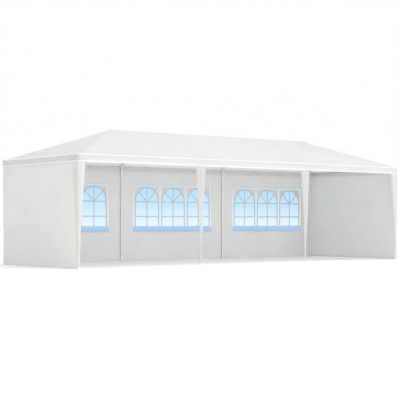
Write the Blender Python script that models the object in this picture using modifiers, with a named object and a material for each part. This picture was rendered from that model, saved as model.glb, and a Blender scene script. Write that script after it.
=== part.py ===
"""Party marquee, 3 m by 9 m: a hipped sheet roof on a frame of steel tubes.

The long front is open, with three bays and a gathered drape on each leg.
The back is three wall panels with three arched windows each, and both ends are plain walls.
Metres, +Z up. The origin is on the ground under the middle of the tent, +X runs along its
length and the open front faces -Y.
"""

import math

import bmesh
import bpy
from mathutils import Matrix, Vector

# Outside of the cover
HALF_LENGTH = 4.500
HALF_WIDTH = 1.500
EAVE_HEIGHT = 2.200
RIDGE_HEIGHT = 2.850
RIDGE_HALF = 2.750
VALANCE_DROP = 0.145

# Sheet goods, drawn thicker than the real 0.16 mm so that they are solids
SHEET = 0.004
CLEAR_SHEET = 0.002
DRAPE_CLOTH = 0.003
TOUCH = 0.0003
VALANCE_CLEAR = 0.010

# Steel frame
TUBE_RADIUS = 0.018
FITTING_RADIUS = 0.020
BALL_RADIUS = 0.0190
SLEEVE_ROLL = math.radians(6.0)
SLEEVE_LENGTH = 0.100
FOOT_RADIUS = 0.042
FOOT_THICKNESS = 0.005
FOOT_WELD = 0.004

# How finely round shapes are drawn, and what counts as one point or as a level face
ROUND_SIDES = 16
TUBE_BEVEL_STEPS = 4
MERGE_DISTANCE = 0.0001
LEVEL_FACE = 0.5

# Wall panels
WALL_BOTTOM = 0.008
SEAM_GAP = 0.002

# Arched windows of a back panel
WINDOWS_A_PANEL = 3
WINDOW_WIDTH = 0.655
WINDOW_PITCH = 0.745
WINDOW_SILL = 0.795
WINDOW_SPRING = 1.370
ARCH_STEPS = 20
CLEAR_WIDTH = 2.300
CLEAR_BOTTOM = 0.675
CLEAR_TOP = 1.752

# Leg drapes
DRAPE_BELOW_VALANCE = 0.002
DRAPE_TOP = EAVE_HEIGHT - VALANCE_DROP - DRAPE_BELOW_VALANCE
DRAPE_BOTTOM = 0.060
DRAPE_TAPER_END = 0.450
DRAPE_HALF_WIDTH = 0.110
DRAPE_SIDE_WIDTH = 0.150
DRAPE_FOLDS = 3
DRAPE_FOLD_DEPTH = 0.025
CORNER_FOLD_DEPTH = 0.008
DRAPE_EASE = 0.0005
MID_WRAP = math.radians(110.0)
CORNER_WRAP = math.radians(75.0)
DRAPE_ROWS = 9
DRAPE_COLUMNS = 30

# Where the frame's centre lines lie, inside the cover and the walls
FITTING_TO_WALL = FITTING_RADIUS + TOUCH
WALL_OUTER_INSET = SHEET + VALANCE_CLEAR
WALL_INNER_INSET = WALL_OUTER_INSET + SHEET
POST_X = HALF_LENGTH - WALL_INNER_INSET - FITTING_TO_WALL
POST_Y = HALF_WIDTH - WALL_INNER_INSET - FITTING_TO_WALL
MID_X = POST_X / 3.0
DRAPE_TO_LEG = TUBE_RADIUS + TOUCH + DRAPE_CLOTH / 2.0 + DRAPE_EASE

# The roof slopes, and the planes in which the rafters' centre lines lie
SIDE_SLOPE = (RIDGE_HEIGHT - EAVE_HEIGHT) / HALF_WIDTH
END_SLOPE = (RIDGE_HEIGHT - EAVE_HEIGHT) / (HALF_LENGTH - RIDGE_HALF)
COVER_TO_AXIS = SHEET + TOUCH + FITTING_RADIUS
SIDE_DROP = COVER_TO_AXIS * math.hypot(1.0, SIDE_SLOPE)
END_DROP = COVER_TO_AXIS * math.hypot(1.0, END_SLOPE)
SIDE_EAVE_AXIS = EAVE_HEIGHT + SIDE_SLOPE * (HALF_WIDTH - POST_Y) - SIDE_DROP
END_EAVE_AXIS = EAVE_HEIGHT + END_SLOPE * (HALF_LENGTH - POST_X) - END_DROP
EAVE_AXIS = min(SIDE_EAVE_AXIS, END_EAVE_AXIS)
RIDGE_AXIS = RIDGE_HEIGHT - SIDE_DROP
RIDGE_END_X = HALF_LENGTH - (RIDGE_AXIS - EAVE_HEIGHT + END_DROP) / END_SLOPE

# Colours as linear RGB, with roughness and metallic
POWDER_COAT = ((0.62, 0.63, 0.63), 0.35, 0.0)
FITTING_COAT = ((0.56, 0.57, 0.58), 0.40, 0.0)
ROOF_SHEET = ((0.86, 0.86, 0.88), 0.45, 0.0)
WALL_SHEET = ((0.78, 0.78, 0.78), 0.50, 0.0)
CLEAR_PVC = ((0.62, 0.80, 0.92), 0.10, 0.0)
DRAPE_FABRIC = ((0.80, 0.80, 0.76), 0.75, 0.0)

COLUMN_X = {
    "left": -POST_X,
    "mid_left": -MID_X,
    "mid_right": MID_X,
    "right": POST_X,
}
ROW_Y = {"front": -POST_Y, "back": POST_Y}


def clear_scene():
    """Remove every object that the file opens with."""
    for old in list(bpy.data.objects):
        bpy.data.objects.remove(old, do_unlink=True)


def new_collection(name):
    """Add a collection to the scene."""
    collection = bpy.data.collections.new(name)
    bpy.context.scene.collection.children.link(collection)
    return collection


def make_material(name, finish):
    """Make a Principled material from a (colour, roughness, metallic) finish."""
    colour, roughness, metallic = finish
    material = bpy.data.materials.new(name)
    material.use_nodes = True
    shader = material.node_tree.nodes["Principled BSDF"]
    shader.inputs["Base Color"].default_value = (*colour, 1.0)
    shader.inputs["Roughness"].default_value = roughness
    shader.inputs["Metallic"].default_value = metallic
    material.diffuse_color = (*colour, 1.0)
    return material


def add_part(name, data, collection, finish, location=(0.0, 0.0, 0.0)):
    """Wrap mesh or curve data in a named object with its own material."""
    part = bpy.data.objects.new(name, data)
    part.location = location
    collection.objects.link(part)
    data.materials.clear()
    data.materials.append(make_material(name + "_finish", finish))
    return part


def add_cutter(name, mesh, collection):
    """Add a hidden helper object that cuts or guides others."""
    cutter = bpy.data.objects.new(name, mesh)
    cutter.hide_render = True
    cutter.display_type = "WIRE"
    collection.objects.link(cutter)
    return cutter


def mesh_from(name, build):
    """Fill a new mesh with a bmesh builder and return it."""
    mesh = bpy.data.meshes.new(name)
    shape = bmesh.new()
    build(shape)
    shape.to_mesh(mesh)
    shape.free()
    return mesh


def box_mesh(name, low, high):
    """A box between two corners."""
    low, high = Vector(low), Vector(high)
    size = high - low

    def build(shape):
        bmesh.ops.create_cube(shape, size=1.0)
        bmesh.ops.scale(shape, vec=size, verts=shape.verts)
        bmesh.ops.translate(shape, vec=(low + high) / 2.0, verts=shape.verts)

    return mesh_from(name, build)


def tube(name, start, end, collection, finish):
    """A straight capped tube between two points on its centre line."""
    curve = bpy.data.curves.new(name, "CURVE")
    curve.dimensions = "3D"
    curve.bevel_depth = TUBE_RADIUS
    curve.bevel_resolution = TUBE_BEVEL_STEPS
    curve.use_fill_caps = True
    spline = curve.splines.new("POLY")
    spline.points.add(1)
    spline.points[0].co = (*start, 1.0)
    spline.points[1].co = (*end, 1.0)
    return add_part(name, curve, collection, finish)


def tube_between(name, start, end, collection):
    """A frame tube that stops just short of the sleeves of the fittings at both ends."""
    start, end = Vector(start), Vector(end)
    along = (end - start).normalized()
    inset = along * (SLEEVE_LENGTH + TOUCH)
    return tube(name, start + inset, end - inset, collection, POWDER_COAT)


def post(name, x, y, collection):
    """An upright tube on its round foot plate, turned as one profile."""
    top = EAVE_AXIS - SLEEVE_LENGTH - TOUCH
    profile = (
        (0.0, top),
        (TUBE_RADIUS, top),
        (TUBE_RADIUS, FOOT_THICKNESS + FOOT_WELD),
        (TUBE_RADIUS + FOOT_WELD, FOOT_THICKNESS),
        (FOOT_RADIUS, FOOT_THICKNESS),
        (FOOT_RADIUS, 0.0),
        (0.0, 0.0),
    )

    def build(shape):
        corners = [shape.verts.new((radius, 0.0, height)) for radius, height in profile]
        for first, second in zip(corners, corners[1:]):
            shape.edges.new((first, second))

    part = add_part(name, mesh_from(name, build), collection, POWDER_COAT, (x, y, 0.0))
    turn = part.modifiers.new("turn", "SCREW")
    turn.axis = "Z"
    turn.steps = ROUND_SIDES
    turn.render_steps = ROUND_SIDES
    turn.use_merge_vertices = True
    turn.merge_threshold = MERGE_DISTANCE
    return part


def sleeve_mesh(name, direction, roll):
    """A solid sleeve from a fitting's centre out along one direction."""
    point = Vector((0.0, 0.0, 1.0)).rotation_difference(Vector(direction))
    turn = point.to_matrix() @ Matrix.Rotation(roll, 3, "Z")

    def build(shape):
        bmesh.ops.create_cone(
            shape, cap_ends=True, segments=ROUND_SIDES,
            radius1=FITTING_RADIUS, radius2=FITTING_RADIUS, depth=SLEEVE_LENGTH,
        )
        bmesh.ops.translate(shape, vec=(0.0, 0.0, SLEEVE_LENGTH / 2.0), verts=shape.verts)
        bmesh.ops.rotate(shape, matrix=turn, verts=shape.verts)

    return mesh_from(name, build)


def fitting(name, centre, targets, collection, helpers):
    """A frame fitting: one sleeve towards each target, joined at a ball."""
    centre = Vector(centre)

    def build(shape):
        bmesh.ops.create_uvsphere(
            shape, u_segments=ROUND_SIDES, v_segments=ROUND_SIDES // 2, radius=BALL_RADIUS,
        )

    part = add_part(name, mesh_from(name, build), collection, FITTING_COAT, centre)
    for number, target in enumerate(targets):
        direction = (Vector(target) - centre).normalized()
        label = f"{name}_sleeve_{number}"
        # Rolled by unlike amounts, no two sleeves have their facets' edges in one place
        mesh = sleeve_mesh(label, direction, SLEEVE_ROLL * number)
        sleeve = add_cutter(label, mesh, helpers)
        sleeve.location = centre
        union = part.modifiers.new(label, "BOOLEAN")
        union.operation = "UNION"
        union.solver = "EXACT"
        union.object = sleeve
    return part


def eave_point(column, row):
    """Where the centre lines meet above a post."""
    return Vector((COLUMN_X[column], ROW_Y[row], EAVE_AXIS))


def ridge_point(column):
    """Where the centre lines meet on the ridge, for an end or a middle column."""
    at_end = column in ("left", "right")
    reach = RIDGE_END_X if at_end else MID_X
    return Vector((math.copysign(reach, COLUMN_X[column]), 0.0, RIDGE_AXIS))


def build_posts(collection):
    """The eight legs, four along each long side."""
    for row, y in ROW_Y.items():
        for column, x in COLUMN_X.items():
            post(f"post_{row}_{column}", x, y, collection)


def build_eave_tubes(collection):
    """The tubes along the eaves: three on each long side and one at each end."""
    columns = list(COLUMN_X)
    bays = ("left", "middle", "right")
    for row in ROW_Y:
        for bay, first, second in zip(bays, columns, columns[1:]):
            tube_between(f"eave_tube_{row}_{bay}", eave_point(first, row),
                         eave_point(second, row), collection)
    for end in ("left", "right"):
        tube_between(f"eave_tube_{end}_end", eave_point(end, "front"),
                     eave_point(end, "back"), collection)


def build_roof_tubes(collection):
    """The ridge in three lengths, and a rafter up to it from every post."""
    columns = list(COLUMN_X)
    bays = ("left", "middle", "right")
    for bay, first, second in zip(bays, columns, columns[1:]):
        tube_between(f"ridge_tube_{bay}", ridge_point(first), ridge_point(second), collection)
    for row in ROW_Y:
        for column in columns:
            kind = "hip_rafter" if column in ("left", "right") else "rafter"
            tube_between(f"{kind}_{row}_{column}", eave_point(column, row),
                         ridge_point(column), collection)


def build_fittings(collection, helpers):
    """The fittings over the posts and along the ridge."""
    columns = list(COLUMN_X)
    for row, y in ROW_Y.items():
        other_row = "back" if row == "front" else "front"
        for place, column in enumerate(columns):
            centre = eave_point(column, row)
            targets = [Vector((centre.x, centre.y, 0.0)), ridge_point(column)]
            targets += [eave_point(columns[side], row) for side in (place - 1, place + 1)
                        if 0 <= side < len(columns)]
            if column in ("left", "right"):
                targets.append(eave_point(column, other_row))
            fitting(f"eave_fitting_{row}_{column}", centre, targets, collection, helpers)
    for place, column in enumerate(columns):
        centre = ridge_point(column)
        targets = [eave_point(column, row) for row in ROW_Y]
        targets += [ridge_point(columns[side]) for side in (place - 1, place + 1)
                    if 0 <= side < len(columns)]
        fitting(f"ridge_fitting_{column}", centre, targets, collection, helpers)


def build_roof_cover(collection):
    """The hipped cover with its valance: a box drawn in to the ridge, open below."""
    valance_bottom = EAVE_HEIGHT - VALANCE_DROP

    def build(shape):
        bmesh.ops.create_cube(shape, size=1.0)
        for corner in shape.verts:
            corner.co.x = math.copysign(HALF_LENGTH, corner.co.x)
            corner.co.y = math.copysign(HALF_WIDTH, corner.co.y)
            corner.co.z = EAVE_HEIGHT if corner.co.z > 0.0 else valance_bottom
        open_face = [face for face in shape.faces if face.normal.z < -LEVEL_FACE]
        bmesh.ops.delete(shape, geom=open_face, context="FACES_ONLY")
        top_face = [face for face in shape.faces if face.normal.z > LEVEL_FACE]
        raised = bmesh.ops.extrude_face_region(shape, geom=top_face)
        bmesh.ops.delete(shape, geom=top_face, context="FACES_ONLY")
        for corner in [item for item in raised["geom"] if isinstance(item, bmesh.types.BMVert)]:
            corner.co = (math.copysign(RIDGE_HALF, corner.co.x), 0.0, RIDGE_HEIGHT)
        bmesh.ops.remove_doubles(shape, verts=shape.verts, dist=MERGE_DISTANCE)
        bmesh.ops.recalc_face_normals(shape, faces=shape.faces)

    cover = add_part("roof_cover", mesh_from("roof_cover", build), collection, ROOF_SHEET)
    shell = cover.modifiers.new("sheet", "SOLIDIFY")
    shell.thickness = SHEET
    shell.offset = -1.0
    shell.use_even_offset = True
    return cover


def build_end_walls(collection):
    """The plain wall panel at each end, hung on the outside of the posts."""
    outer = HALF_LENGTH - WALL_OUTER_INSET
    inner = HALF_LENGTH - WALL_INNER_INSET
    front = -(HALF_WIDTH - WALL_OUTER_INSET)
    back = HALF_WIDTH - WALL_INNER_INSET - TOUCH
    for end, side in (("left", -1.0), ("right", 1.0)):
        name = f"{end}_end_wall"
        near, far = sorted((side * inner, side * outer))
        mesh = box_mesh(name, (near, front, WALL_BOTTOM), (far, back, EAVE_AXIS))
        add_part(name, mesh, collection, WALL_SHEET)


def arch_cutter(name, x, depth_low, depth_high, helpers):
    """A cutter for one arched window: upright sides under a half-round head."""
    half = WINDOW_WIDTH / 2.0
    outline = [(x - half, WINDOW_SILL), (x + half, WINDOW_SILL)]
    for step in range(ARCH_STEPS + 1):
        angle = math.pi * step / ARCH_STEPS
        outline.append((x + half * math.cos(angle), WINDOW_SPRING + half * math.sin(angle)))

    def build(shape):
        ring = [shape.verts.new((px, depth_low, pz)) for px, pz in outline]
        face = shape.faces.new(ring)
        side = bmesh.ops.extrude_face_region(shape, geom=[face])
        moved = [item for item in side["geom"] if isinstance(item, bmesh.types.BMVert)]
        bmesh.ops.translate(shape, vec=(0.0, depth_high - depth_low, 0.0), verts=moved)
        bmesh.ops.recalc_face_normals(shape, faces=shape.faces)

    return add_cutter(name, mesh_from(name, build), helpers)


def build_back_wall(collection, helpers):
    """Three panels with three arched openings each, and a clear sheet over each group."""
    outer = HALF_WIDTH - WALL_OUTER_INSET
    inner = HALF_WIDTH - WALL_INNER_INSET
    wall_end = HALF_LENGTH - WALL_OUTER_INSET
    seam = SEAM_GAP / 2.0
    spans = {
        "left": (-wall_end, -MID_X - seam),
        "middle": (-MID_X + seam, MID_X - seam),
        "right": (MID_X + seam, wall_end),
    }
    for number, (bay, (start, end)) in enumerate(spans.items()):
        bay_centre = (number - 1) * 2.0 * MID_X
        name = f"back_wall_{bay}"
        mesh = box_mesh(name, (start, inner, WALL_BOTTOM), (end, outer, EAVE_AXIS))
        panel = add_part(name, mesh, collection, WALL_SHEET)
        for window in range(WINDOWS_A_PANEL):
            x = bay_centre + (window - 1) * WINDOW_PITCH
            label = f"{name}_window_{window}"
            cutter = arch_cutter(label, x, inner - SHEET, outer + SHEET, helpers)
            cut = panel.modifiers.new(label, "BOOLEAN")
            cut.operation = "DIFFERENCE"
            cut.solver = "EXACT"
            cut.object = cutter
        sheet_name = f"window_sheet_{bay}"
        low = (bay_centre - CLEAR_WIDTH / 2.0, outer + TOUCH, CLEAR_BOTTOM)
        high = (bay_centre + CLEAR_WIDTH / 2.0, outer + TOUCH + CLEAR_SHEET, CLEAR_TOP)
        add_part(sheet_name, box_mesh(sheet_name, low, high), collection, CLEAR_PVC)


def taper(height):
    """How far a drape has drawn in to its leg: 0 at the top, 1 from the taper's end down."""
    run = (DRAPE_TOP - height) / (DRAPE_TOP - DRAPE_TAPER_END)
    return min(max(run, 0.0), 1.0)


def fold(across):
    """The fold wave across a drape, 0 in the valleys and 1 on the crests."""
    return 0.5 + 0.5 * math.cos(math.pi * DRAPE_FOLDS * across)


def wrap_point(across, radius, middle, sweep):
    """A point of the arc that a drape follows where it lies close round its leg."""
    angle = middle + across * sweep
    return Vector((radius * math.cos(angle), radius * math.sin(angle)))


def mid_leg_section(across):
    """The top of a middle drape, seen from above the leg: a folded line in front of it."""
    back_off = DRAPE_FOLD_DEPTH * (1.0 - fold(across))
    return Vector((across * DRAPE_HALF_WIDTH, back_off - DRAPE_TO_LEG))


def corner_leg_section(across):
    """The top of a corner drape: round the outside of the corner, over wall and leg."""
    stand_off = FITTING_TO_WALL + SHEET + TOUCH + DRAPE_CLOTH / 2.0
    bulge = CORNER_FOLD_DEPTH * fold(across)
    reach = abs(across) * DRAPE_SIDE_WIDTH
    if across < 0.0:
        return Vector((-stand_off - bulge, -stand_off + reach))
    return Vector((-stand_off + reach, -stand_off - bulge))


def leg_drape(name, x, y, section, wrap, mirror, collection):
    """A gathered drape: folded at the top and drawn in close round the leg below."""
    radius, middle, sweep = wrap
    rows = [DRAPE_TOP + (DRAPE_BOTTOM - DRAPE_TOP) * row / DRAPE_ROWS
            for row in range(DRAPE_ROWS + 1)]

    def build(shape):
        grid = []
        for height in rows:
            drawn_in = taper(height)
            line = []
            for column in range(DRAPE_COLUMNS + 1):
                across = 2.0 * column / DRAPE_COLUMNS - 1.0
                spread = section(across)
                close = wrap_point(across, radius, middle, sweep)
                place = spread.lerp(close, drawn_in)
                place *= max(1.0, radius / place.length)
                line.append(shape.verts.new((mirror * place.x, place.y, height)))
            grid.append(line)
        for upper, lower in zip(grid, grid[1:]):
            for column in range(DRAPE_COLUMNS):
                shape.faces.new((upper[column], upper[column + 1],
                                 lower[column + 1], lower[column]))

    part = add_part(name, mesh_from(name, build), collection, DRAPE_FABRIC, (x, y, 0.0))
    cloth = part.modifiers.new("cloth", "SOLIDIFY")
    cloth.thickness = DRAPE_CLOTH
    cloth.offset = 0.0
    cloth.use_even_offset = False
    return part


def build_leg_drapes(collection):
    """The four drapes of the open front."""
    close_corner = (FITTING_TO_WALL + SHEET) * math.sqrt(2.0) + DRAPE_CLOTH
    front = -math.pi / 2.0
    outside = -3.0 * math.pi / 4.0
    for column, x in COLUMN_X.items():
        name = f"leg_drape_{column}"
        if column in ("left", "right"):
            wrap = (close_corner, outside, CORNER_WRAP)
            mirror = 1.0 if column == "left" else -1.0
            leg_drape(name, x, -POST_Y, corner_leg_section, wrap, mirror, collection)
        else:
            wrap = (DRAPE_TO_LEG, front, MID_WRAP)
            leg_drape(name, x, -POST_Y, mid_leg_section, wrap, 1.0, collection)


def main():
    """Build the whole tent."""
    clear_scene()
    tent = new_collection("marquee_tent")
    helpers = new_collection("cutters")
    build_posts(tent)
    build_eave_tubes(tent)
    build_roof_tubes(tent)
    build_fittings(tent, helpers)
    build_roof_cover(tent)
    build_end_walls(tent)
    build_back_wall(tent, helpers)
    build_leg_drapes(tent)


main()
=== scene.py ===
"""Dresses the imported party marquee: its sheets, windows, drapes, straps and finishes.

Metres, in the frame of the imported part: the open front faces -Y, +X runs along the tent and
the ground is at z = 0.
"""

import logging
import math
from abc import ABC, abstractmethod
from collections.abc import Callable, Sequence
from dataclasses import dataclass, field
from enum import Enum

import bmesh
import bpy
from mathutils import Matrix, Vector, noise


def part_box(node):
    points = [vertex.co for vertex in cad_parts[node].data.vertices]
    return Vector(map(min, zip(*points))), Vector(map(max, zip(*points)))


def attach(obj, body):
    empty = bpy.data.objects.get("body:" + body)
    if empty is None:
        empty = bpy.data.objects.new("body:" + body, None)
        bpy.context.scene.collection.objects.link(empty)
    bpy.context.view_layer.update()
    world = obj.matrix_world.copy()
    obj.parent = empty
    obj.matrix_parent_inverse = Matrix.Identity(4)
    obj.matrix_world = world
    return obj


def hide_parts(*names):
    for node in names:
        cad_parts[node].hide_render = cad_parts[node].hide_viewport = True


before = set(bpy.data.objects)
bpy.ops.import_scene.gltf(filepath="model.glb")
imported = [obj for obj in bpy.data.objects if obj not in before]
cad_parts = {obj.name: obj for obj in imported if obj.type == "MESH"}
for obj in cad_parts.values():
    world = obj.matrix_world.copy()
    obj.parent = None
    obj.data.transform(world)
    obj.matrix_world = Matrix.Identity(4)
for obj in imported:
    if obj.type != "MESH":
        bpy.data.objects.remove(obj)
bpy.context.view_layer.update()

LOG = logging.getLogger("marquee")
IMAGE_SIDE = 400
BODY = "root"
COLUMNS = ("left", "mid_left", "mid_right", "right")
BAYS = ("left", "middle", "right")

MM = 0.001
# Keeps rounding from adding a step, and a length of 0 out of a division
TINY = 1e-6
VALANCE_DROP = 0.145
# How far in from each end of the tent the ridge ends
RIDGE_INSET = 1.750
# Real coated sheet is about 0.16 mm thick, drawn 1 mm
SHEET_THICKNESS = 1.0 * MM
# Apart on the flat cloth, so that no two slopes of the cover show the same creases
PANEL_APART = 20.0
# Moves the noise for each seed
SEED_SHIFT = (17.3, -9.1, 4.7)

Colour = tuple[float, float, float, float]
Outline = list[tuple[float, float]]


class Slot(Enum):
    """The record's material slots."""

    STEEL = "steel_tube"
    FITTING = "tube_fitting"
    ROOF = "roof_sheet"
    WALL = "wall_sheet"
    CLEAR = "clear_sheet"
    DRAPE = "drape_cloth"


class Row(Enum):
    """The long sides, with the sign of their y."""

    FRONT = -1.0
    BACK = 1.0


class End(Enum):
    """The short sides, with the sign of their x."""

    LEFT = -1.0
    RIGHT = 1.0


def linear(code: str) -> Colour:
    """Turn an sRGB hex value into a linear colour, by the standard's own curve.

    Args:
        code: Six hex digits with a leading hash.

    Returns:
        Linear red, green and blue, and an alpha of 1.
    """
    parts = [int(code[place:place + 2], 16) / 255.0 for place in (1, 3, 5)]
    red, green, blue = (part / 12.92 if part <= 0.04045 else ((part + 0.055) / 1.055) ** 2.4
                        for part in parts)
    return red, green, blue, 1.0


def face_tint(code: str) -> Colour:
    """Give the tint of one face of a film, because light passes two of them.

    Args:
        code: The film's own tint as an sRGB hex value.

    Returns:
        The linear colour whose square is the film's tint.
    """
    red, green, blue, alpha = linear(code)
    return math.sqrt(red), math.sqrt(green), math.sqrt(blue), alpha


def add_node(tree: bpy.types.NodeTree, kind: str, settings: dict | None = None,
             inputs: dict | None = None) -> bpy.types.Node:
    """Add one shader node, set it up and link it.

    Args:
        tree: The node tree that gets the node.
        kind: The node's type.
        settings: Attributes of the node by name.
        inputs: Values or output sockets by input name or number.

    Returns:
        The new node.
    """
    node = tree.nodes.new(kind)
    for name, value in (settings or {}).items():
        setattr(node, name, value)
    for name, value in (inputs or {}).items():
        if isinstance(value, bpy.types.NodeSocket):
            tree.links.new(value, node.inputs[name])
        else:
            node.inputs[name].default_value = value
    return node


def smooth(value: float, low: float = 0.0, high: float = 1.0) -> float:
    """Ease from 0 at low to 1 at high.

    Args:
        value: Where to read the curve.
        low: Where it leaves 0.
        high: Where it reaches 1.

    Returns:
        A number from 0 to 1.
    """
    share = min(max((value - low) / (high - low), 0.0), 1.0)
    return share * share * (3.0 - 2.0 * share)


def crumple(point: Sequence[float], size: float, seed: float = 0.0) -> float:
    """Read a soft noise from about -1 to 1.

    Args:
        point: Where to read it, in metres.
        size: How far apart its humps lie, in metres.
        seed: Shifts the pattern, so that no two pieces have the same one.

    Returns:
        The height of the noise there.
    """
    return noise.noise(Vector([value / size + shift * seed
                               for value, shift in zip(point, SEED_SHIFT)]))


def add_object(name: str, data: bpy.types.ID) -> bpy.types.Object:
    """Add an object to the scene.

    Args:
        name: The object's name.
        data: Its mesh, curve, light or camera.

    Returns:
        The new object.
    """
    made = bpy.data.objects.new(name, data)
    bpy.context.scene.collection.objects.link(made)
    return made


def add_shape(name: str, shape: bmesh.types.BMesh) -> bpy.types.Object:
    """Turn a finished shape into a smooth object of the scene.

    Args:
        name: The object's name.
        shape: The shape, which is freed.

    Returns:
        The new object.
    """
    mesh = bpy.data.meshes.new(name)
    shape.to_mesh(mesh)
    shape.free()
    mesh.shade_smooth()
    return add_object(name, mesh)


def wave_scale(spacing_mm: float) -> float:
    """Give the scale of a wave texture for threads or ribs.

    A wave texture of scale 1 repeats every tau / 20 of a metre, so that a crest comes about every
    second thread, where it lies on top.

    Args:
        spacing_mm: How far apart the threads or ribs lie.

    Returns:
        The texture's scale.
    """
    return 1.0 / (math.tau * spacing_mm * MM)


@dataclass(frozen=True)
class Finish(ABC):
    """A surface finish, made as one node material."""

    name: str

    @abstractmethod
    def shade(self, tree: bpy.types.NodeTree) -> bpy.types.NodeSocket:
        """Build the shader in the tree and return its output."""

    def material(self) -> bpy.types.Material:
        """Make the material, or return the one made before.

        Returns:
            The Blender material of this finish.
        """
        ready = bpy.data.materials.get(self.name)
        if ready is not None:
            return ready
        made = bpy.data.materials.new(self.name)
        made.use_nodes = True
        tree = made.node_tree
        tree.nodes.clear()
        add_node(tree, "ShaderNodeOutputMaterial", inputs={"Surface": self.shade(tree)})
        return made


@dataclass(frozen=True)
class WovenPolyethylene(Finish):
    """Woven and laminated polyethylene, the sheet of roof and walls.

    Flat tapes are woven and coated on both faces. The eye sees a matt white sheet that glows a
    little with light behind it, a faint square weave under a soft sheen, the straight creases
    of its packed state, and loose crumpling between them.
    """

    # Colours painted on the crumpling: painted light on its humps, painted shade in its hollows
    lit: str
    shaded: str
    # The share of light that passes through single and through doubled cloth
    glow: float
    doubled_glow: float = 0.20
    roughness: float = 0.46
    # Between two tapes the sheet is rougher, and painted shade makes it darker in the weave's
    # hollows
    gap_roughness: float = 0.64
    gap_shade_tint: str = "#F9F9F9"
    # Real tapes are 2.5 mm wide. They are drawn 8 mm wide, or no view would show them
    tape_mm: float = 8.0
    tape_gap_mm: float = 1.0
    weave_mm: float = 0.10
    fold_pitch_mm: float = 375.0
    fold_half_mm: float = 12.0
    fold_mm: float = 0.9
    wear_pitch_mm: float = 590.0
    crumple_pitch_mm: float = 385.0
    crumple_mm: float = 3.0
    ior: float = 1.51

    def shade(self, tree: bpy.types.NodeTree) -> bpy.types.NodeSocket:
        """Build the sheet: diffuse coated tapes, with some light passing through.

        Args:
            tree: The material's node tree.

        Returns:
            The shader's output socket.
        """
        cloth = add_node(tree, "ShaderNodeAttribute", {"attribute_name": "cloth"})
        split = add_node(tree, "ShaderNodeSeparateXYZ", inputs={
            "Vector": cloth.outputs["Vector"]})
        flat = add_node(tree, "ShaderNodeCombineXYZ",
                        inputs={"X": split.outputs["X"], "Y": split.outputs["Y"]})
        loose = add_node(tree, "ShaderNodeTexNoise", inputs={
            "Vector": flat.outputs[0], "Scale": 1.0 / (self.crumple_pitch_mm * MM),
            "Detail": 5.0, "Roughness": 0.55, "Distortion": 0.6})
        weave = add_node(tree, "ShaderNodeTexBrick", {"offset": 0.0, "squash": 1.0}, {
            "Vector": flat.outputs[0], "Scale": 1.0, "Mortar Size": self.tape_gap_mm * MM,
            "Mortar Smooth": 1.0, "Brick Width": self.tape_mm * MM,
            "Row Height": self.tape_mm * MM})
        folds = add_node(tree, "ShaderNodeTexBrick", {"offset": 0.0, "squash": 1.0}, {
            "Vector": flat.outputs[0], "Scale": 1.0, "Mortar Size": self.fold_half_mm * MM,
            "Mortar Smooth": 1.0, "Brick Width": self.fold_pitch_mm * MM,
            "Row Height": self.fold_pitch_mm * MM})
        worn = add_node(tree, "ShaderNodeTexNoise", inputs={
            "Vector": flat.outputs[0], "Scale": 1.0 / (self.wear_pitch_mm * MM),
            "Detail": 2.0})
        fold_height = add_node(tree, "ShaderNodeMath", {"operation": "MULTIPLY"}, {
            0: folds.outputs["Fac"], 1: worn.outputs["Fac"]})
        humps = add_node(tree, "ShaderNodeBump", inputs={
            "Strength": 0.6, "Distance": self.crumple_mm * MM, "Height": loose.outputs["Fac"]})
        creased = add_node(tree, "ShaderNodeBump", inputs={
            "Strength": 0.6, "Distance": self.fold_mm * MM, "Height": fold_height.outputs[0],
            "Normal": humps.outputs[0]})
        woven = add_node(tree, "ShaderNodeBump", {"invert": True}, {
            "Strength": 0.5, "Distance": self.weave_mm * MM, "Height": weave.outputs["Fac"],
            "Normal": creased.outputs[0]})
        # Painted light and shade: the crumpling's humps are lit and its hollows shaded
        crumple_light_shade = add_node(tree, "ShaderNodeMapRange", inputs={
            "Value": loose.outputs["Fac"], "From Min": 0.35, "From Max": 0.65})
        tone = add_node(tree, "ShaderNodeMix", {"data_type": "RGBA"}, {
            0: crumple_light_shade.outputs[0], 6: linear(self.shaded), 7: linear(self.lit)})
        # Painted shade: the hollows between the tapes are darker
        tape_gap_shade = add_node(tree, "ShaderNodeMix", {"data_type": "RGBA", "blend_type": "MULTIPLY"}, {
            0: weave.outputs["Fac"], 6: tone.outputs[2], 7: linear(self.gap_shade_tint)})
        dull = add_node(tree, "ShaderNodeMapRange", inputs={
            "Value": weave.outputs["Fac"], "To Min": self.roughness,
            "To Max": self.gap_roughness})
        coated = add_node(tree, "ShaderNodeBsdfPrincipled", inputs={
            "Base Color": tape_gap_shade.outputs[2], "Roughness": dull.outputs[0], "IOR": self.ior,
            "Normal": woven.outputs[0]})
        through = add_node(tree, "ShaderNodeBsdfTranslucent", inputs={
            "Color": tape_gap_shade.outputs[2], "Normal": creased.outputs[0]})
        share = add_node(tree, "ShaderNodeMapRange", inputs={
            "Value": split.outputs["Z"], "To Min": self.glow, "To Max": self.doubled_glow})
        both = add_node(tree, "ShaderNodeMixShader", inputs={
            0: share.outputs[0], 1: coated.outputs[0], 2: through.outputs[0]})
        return both.outputs[0]


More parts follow.
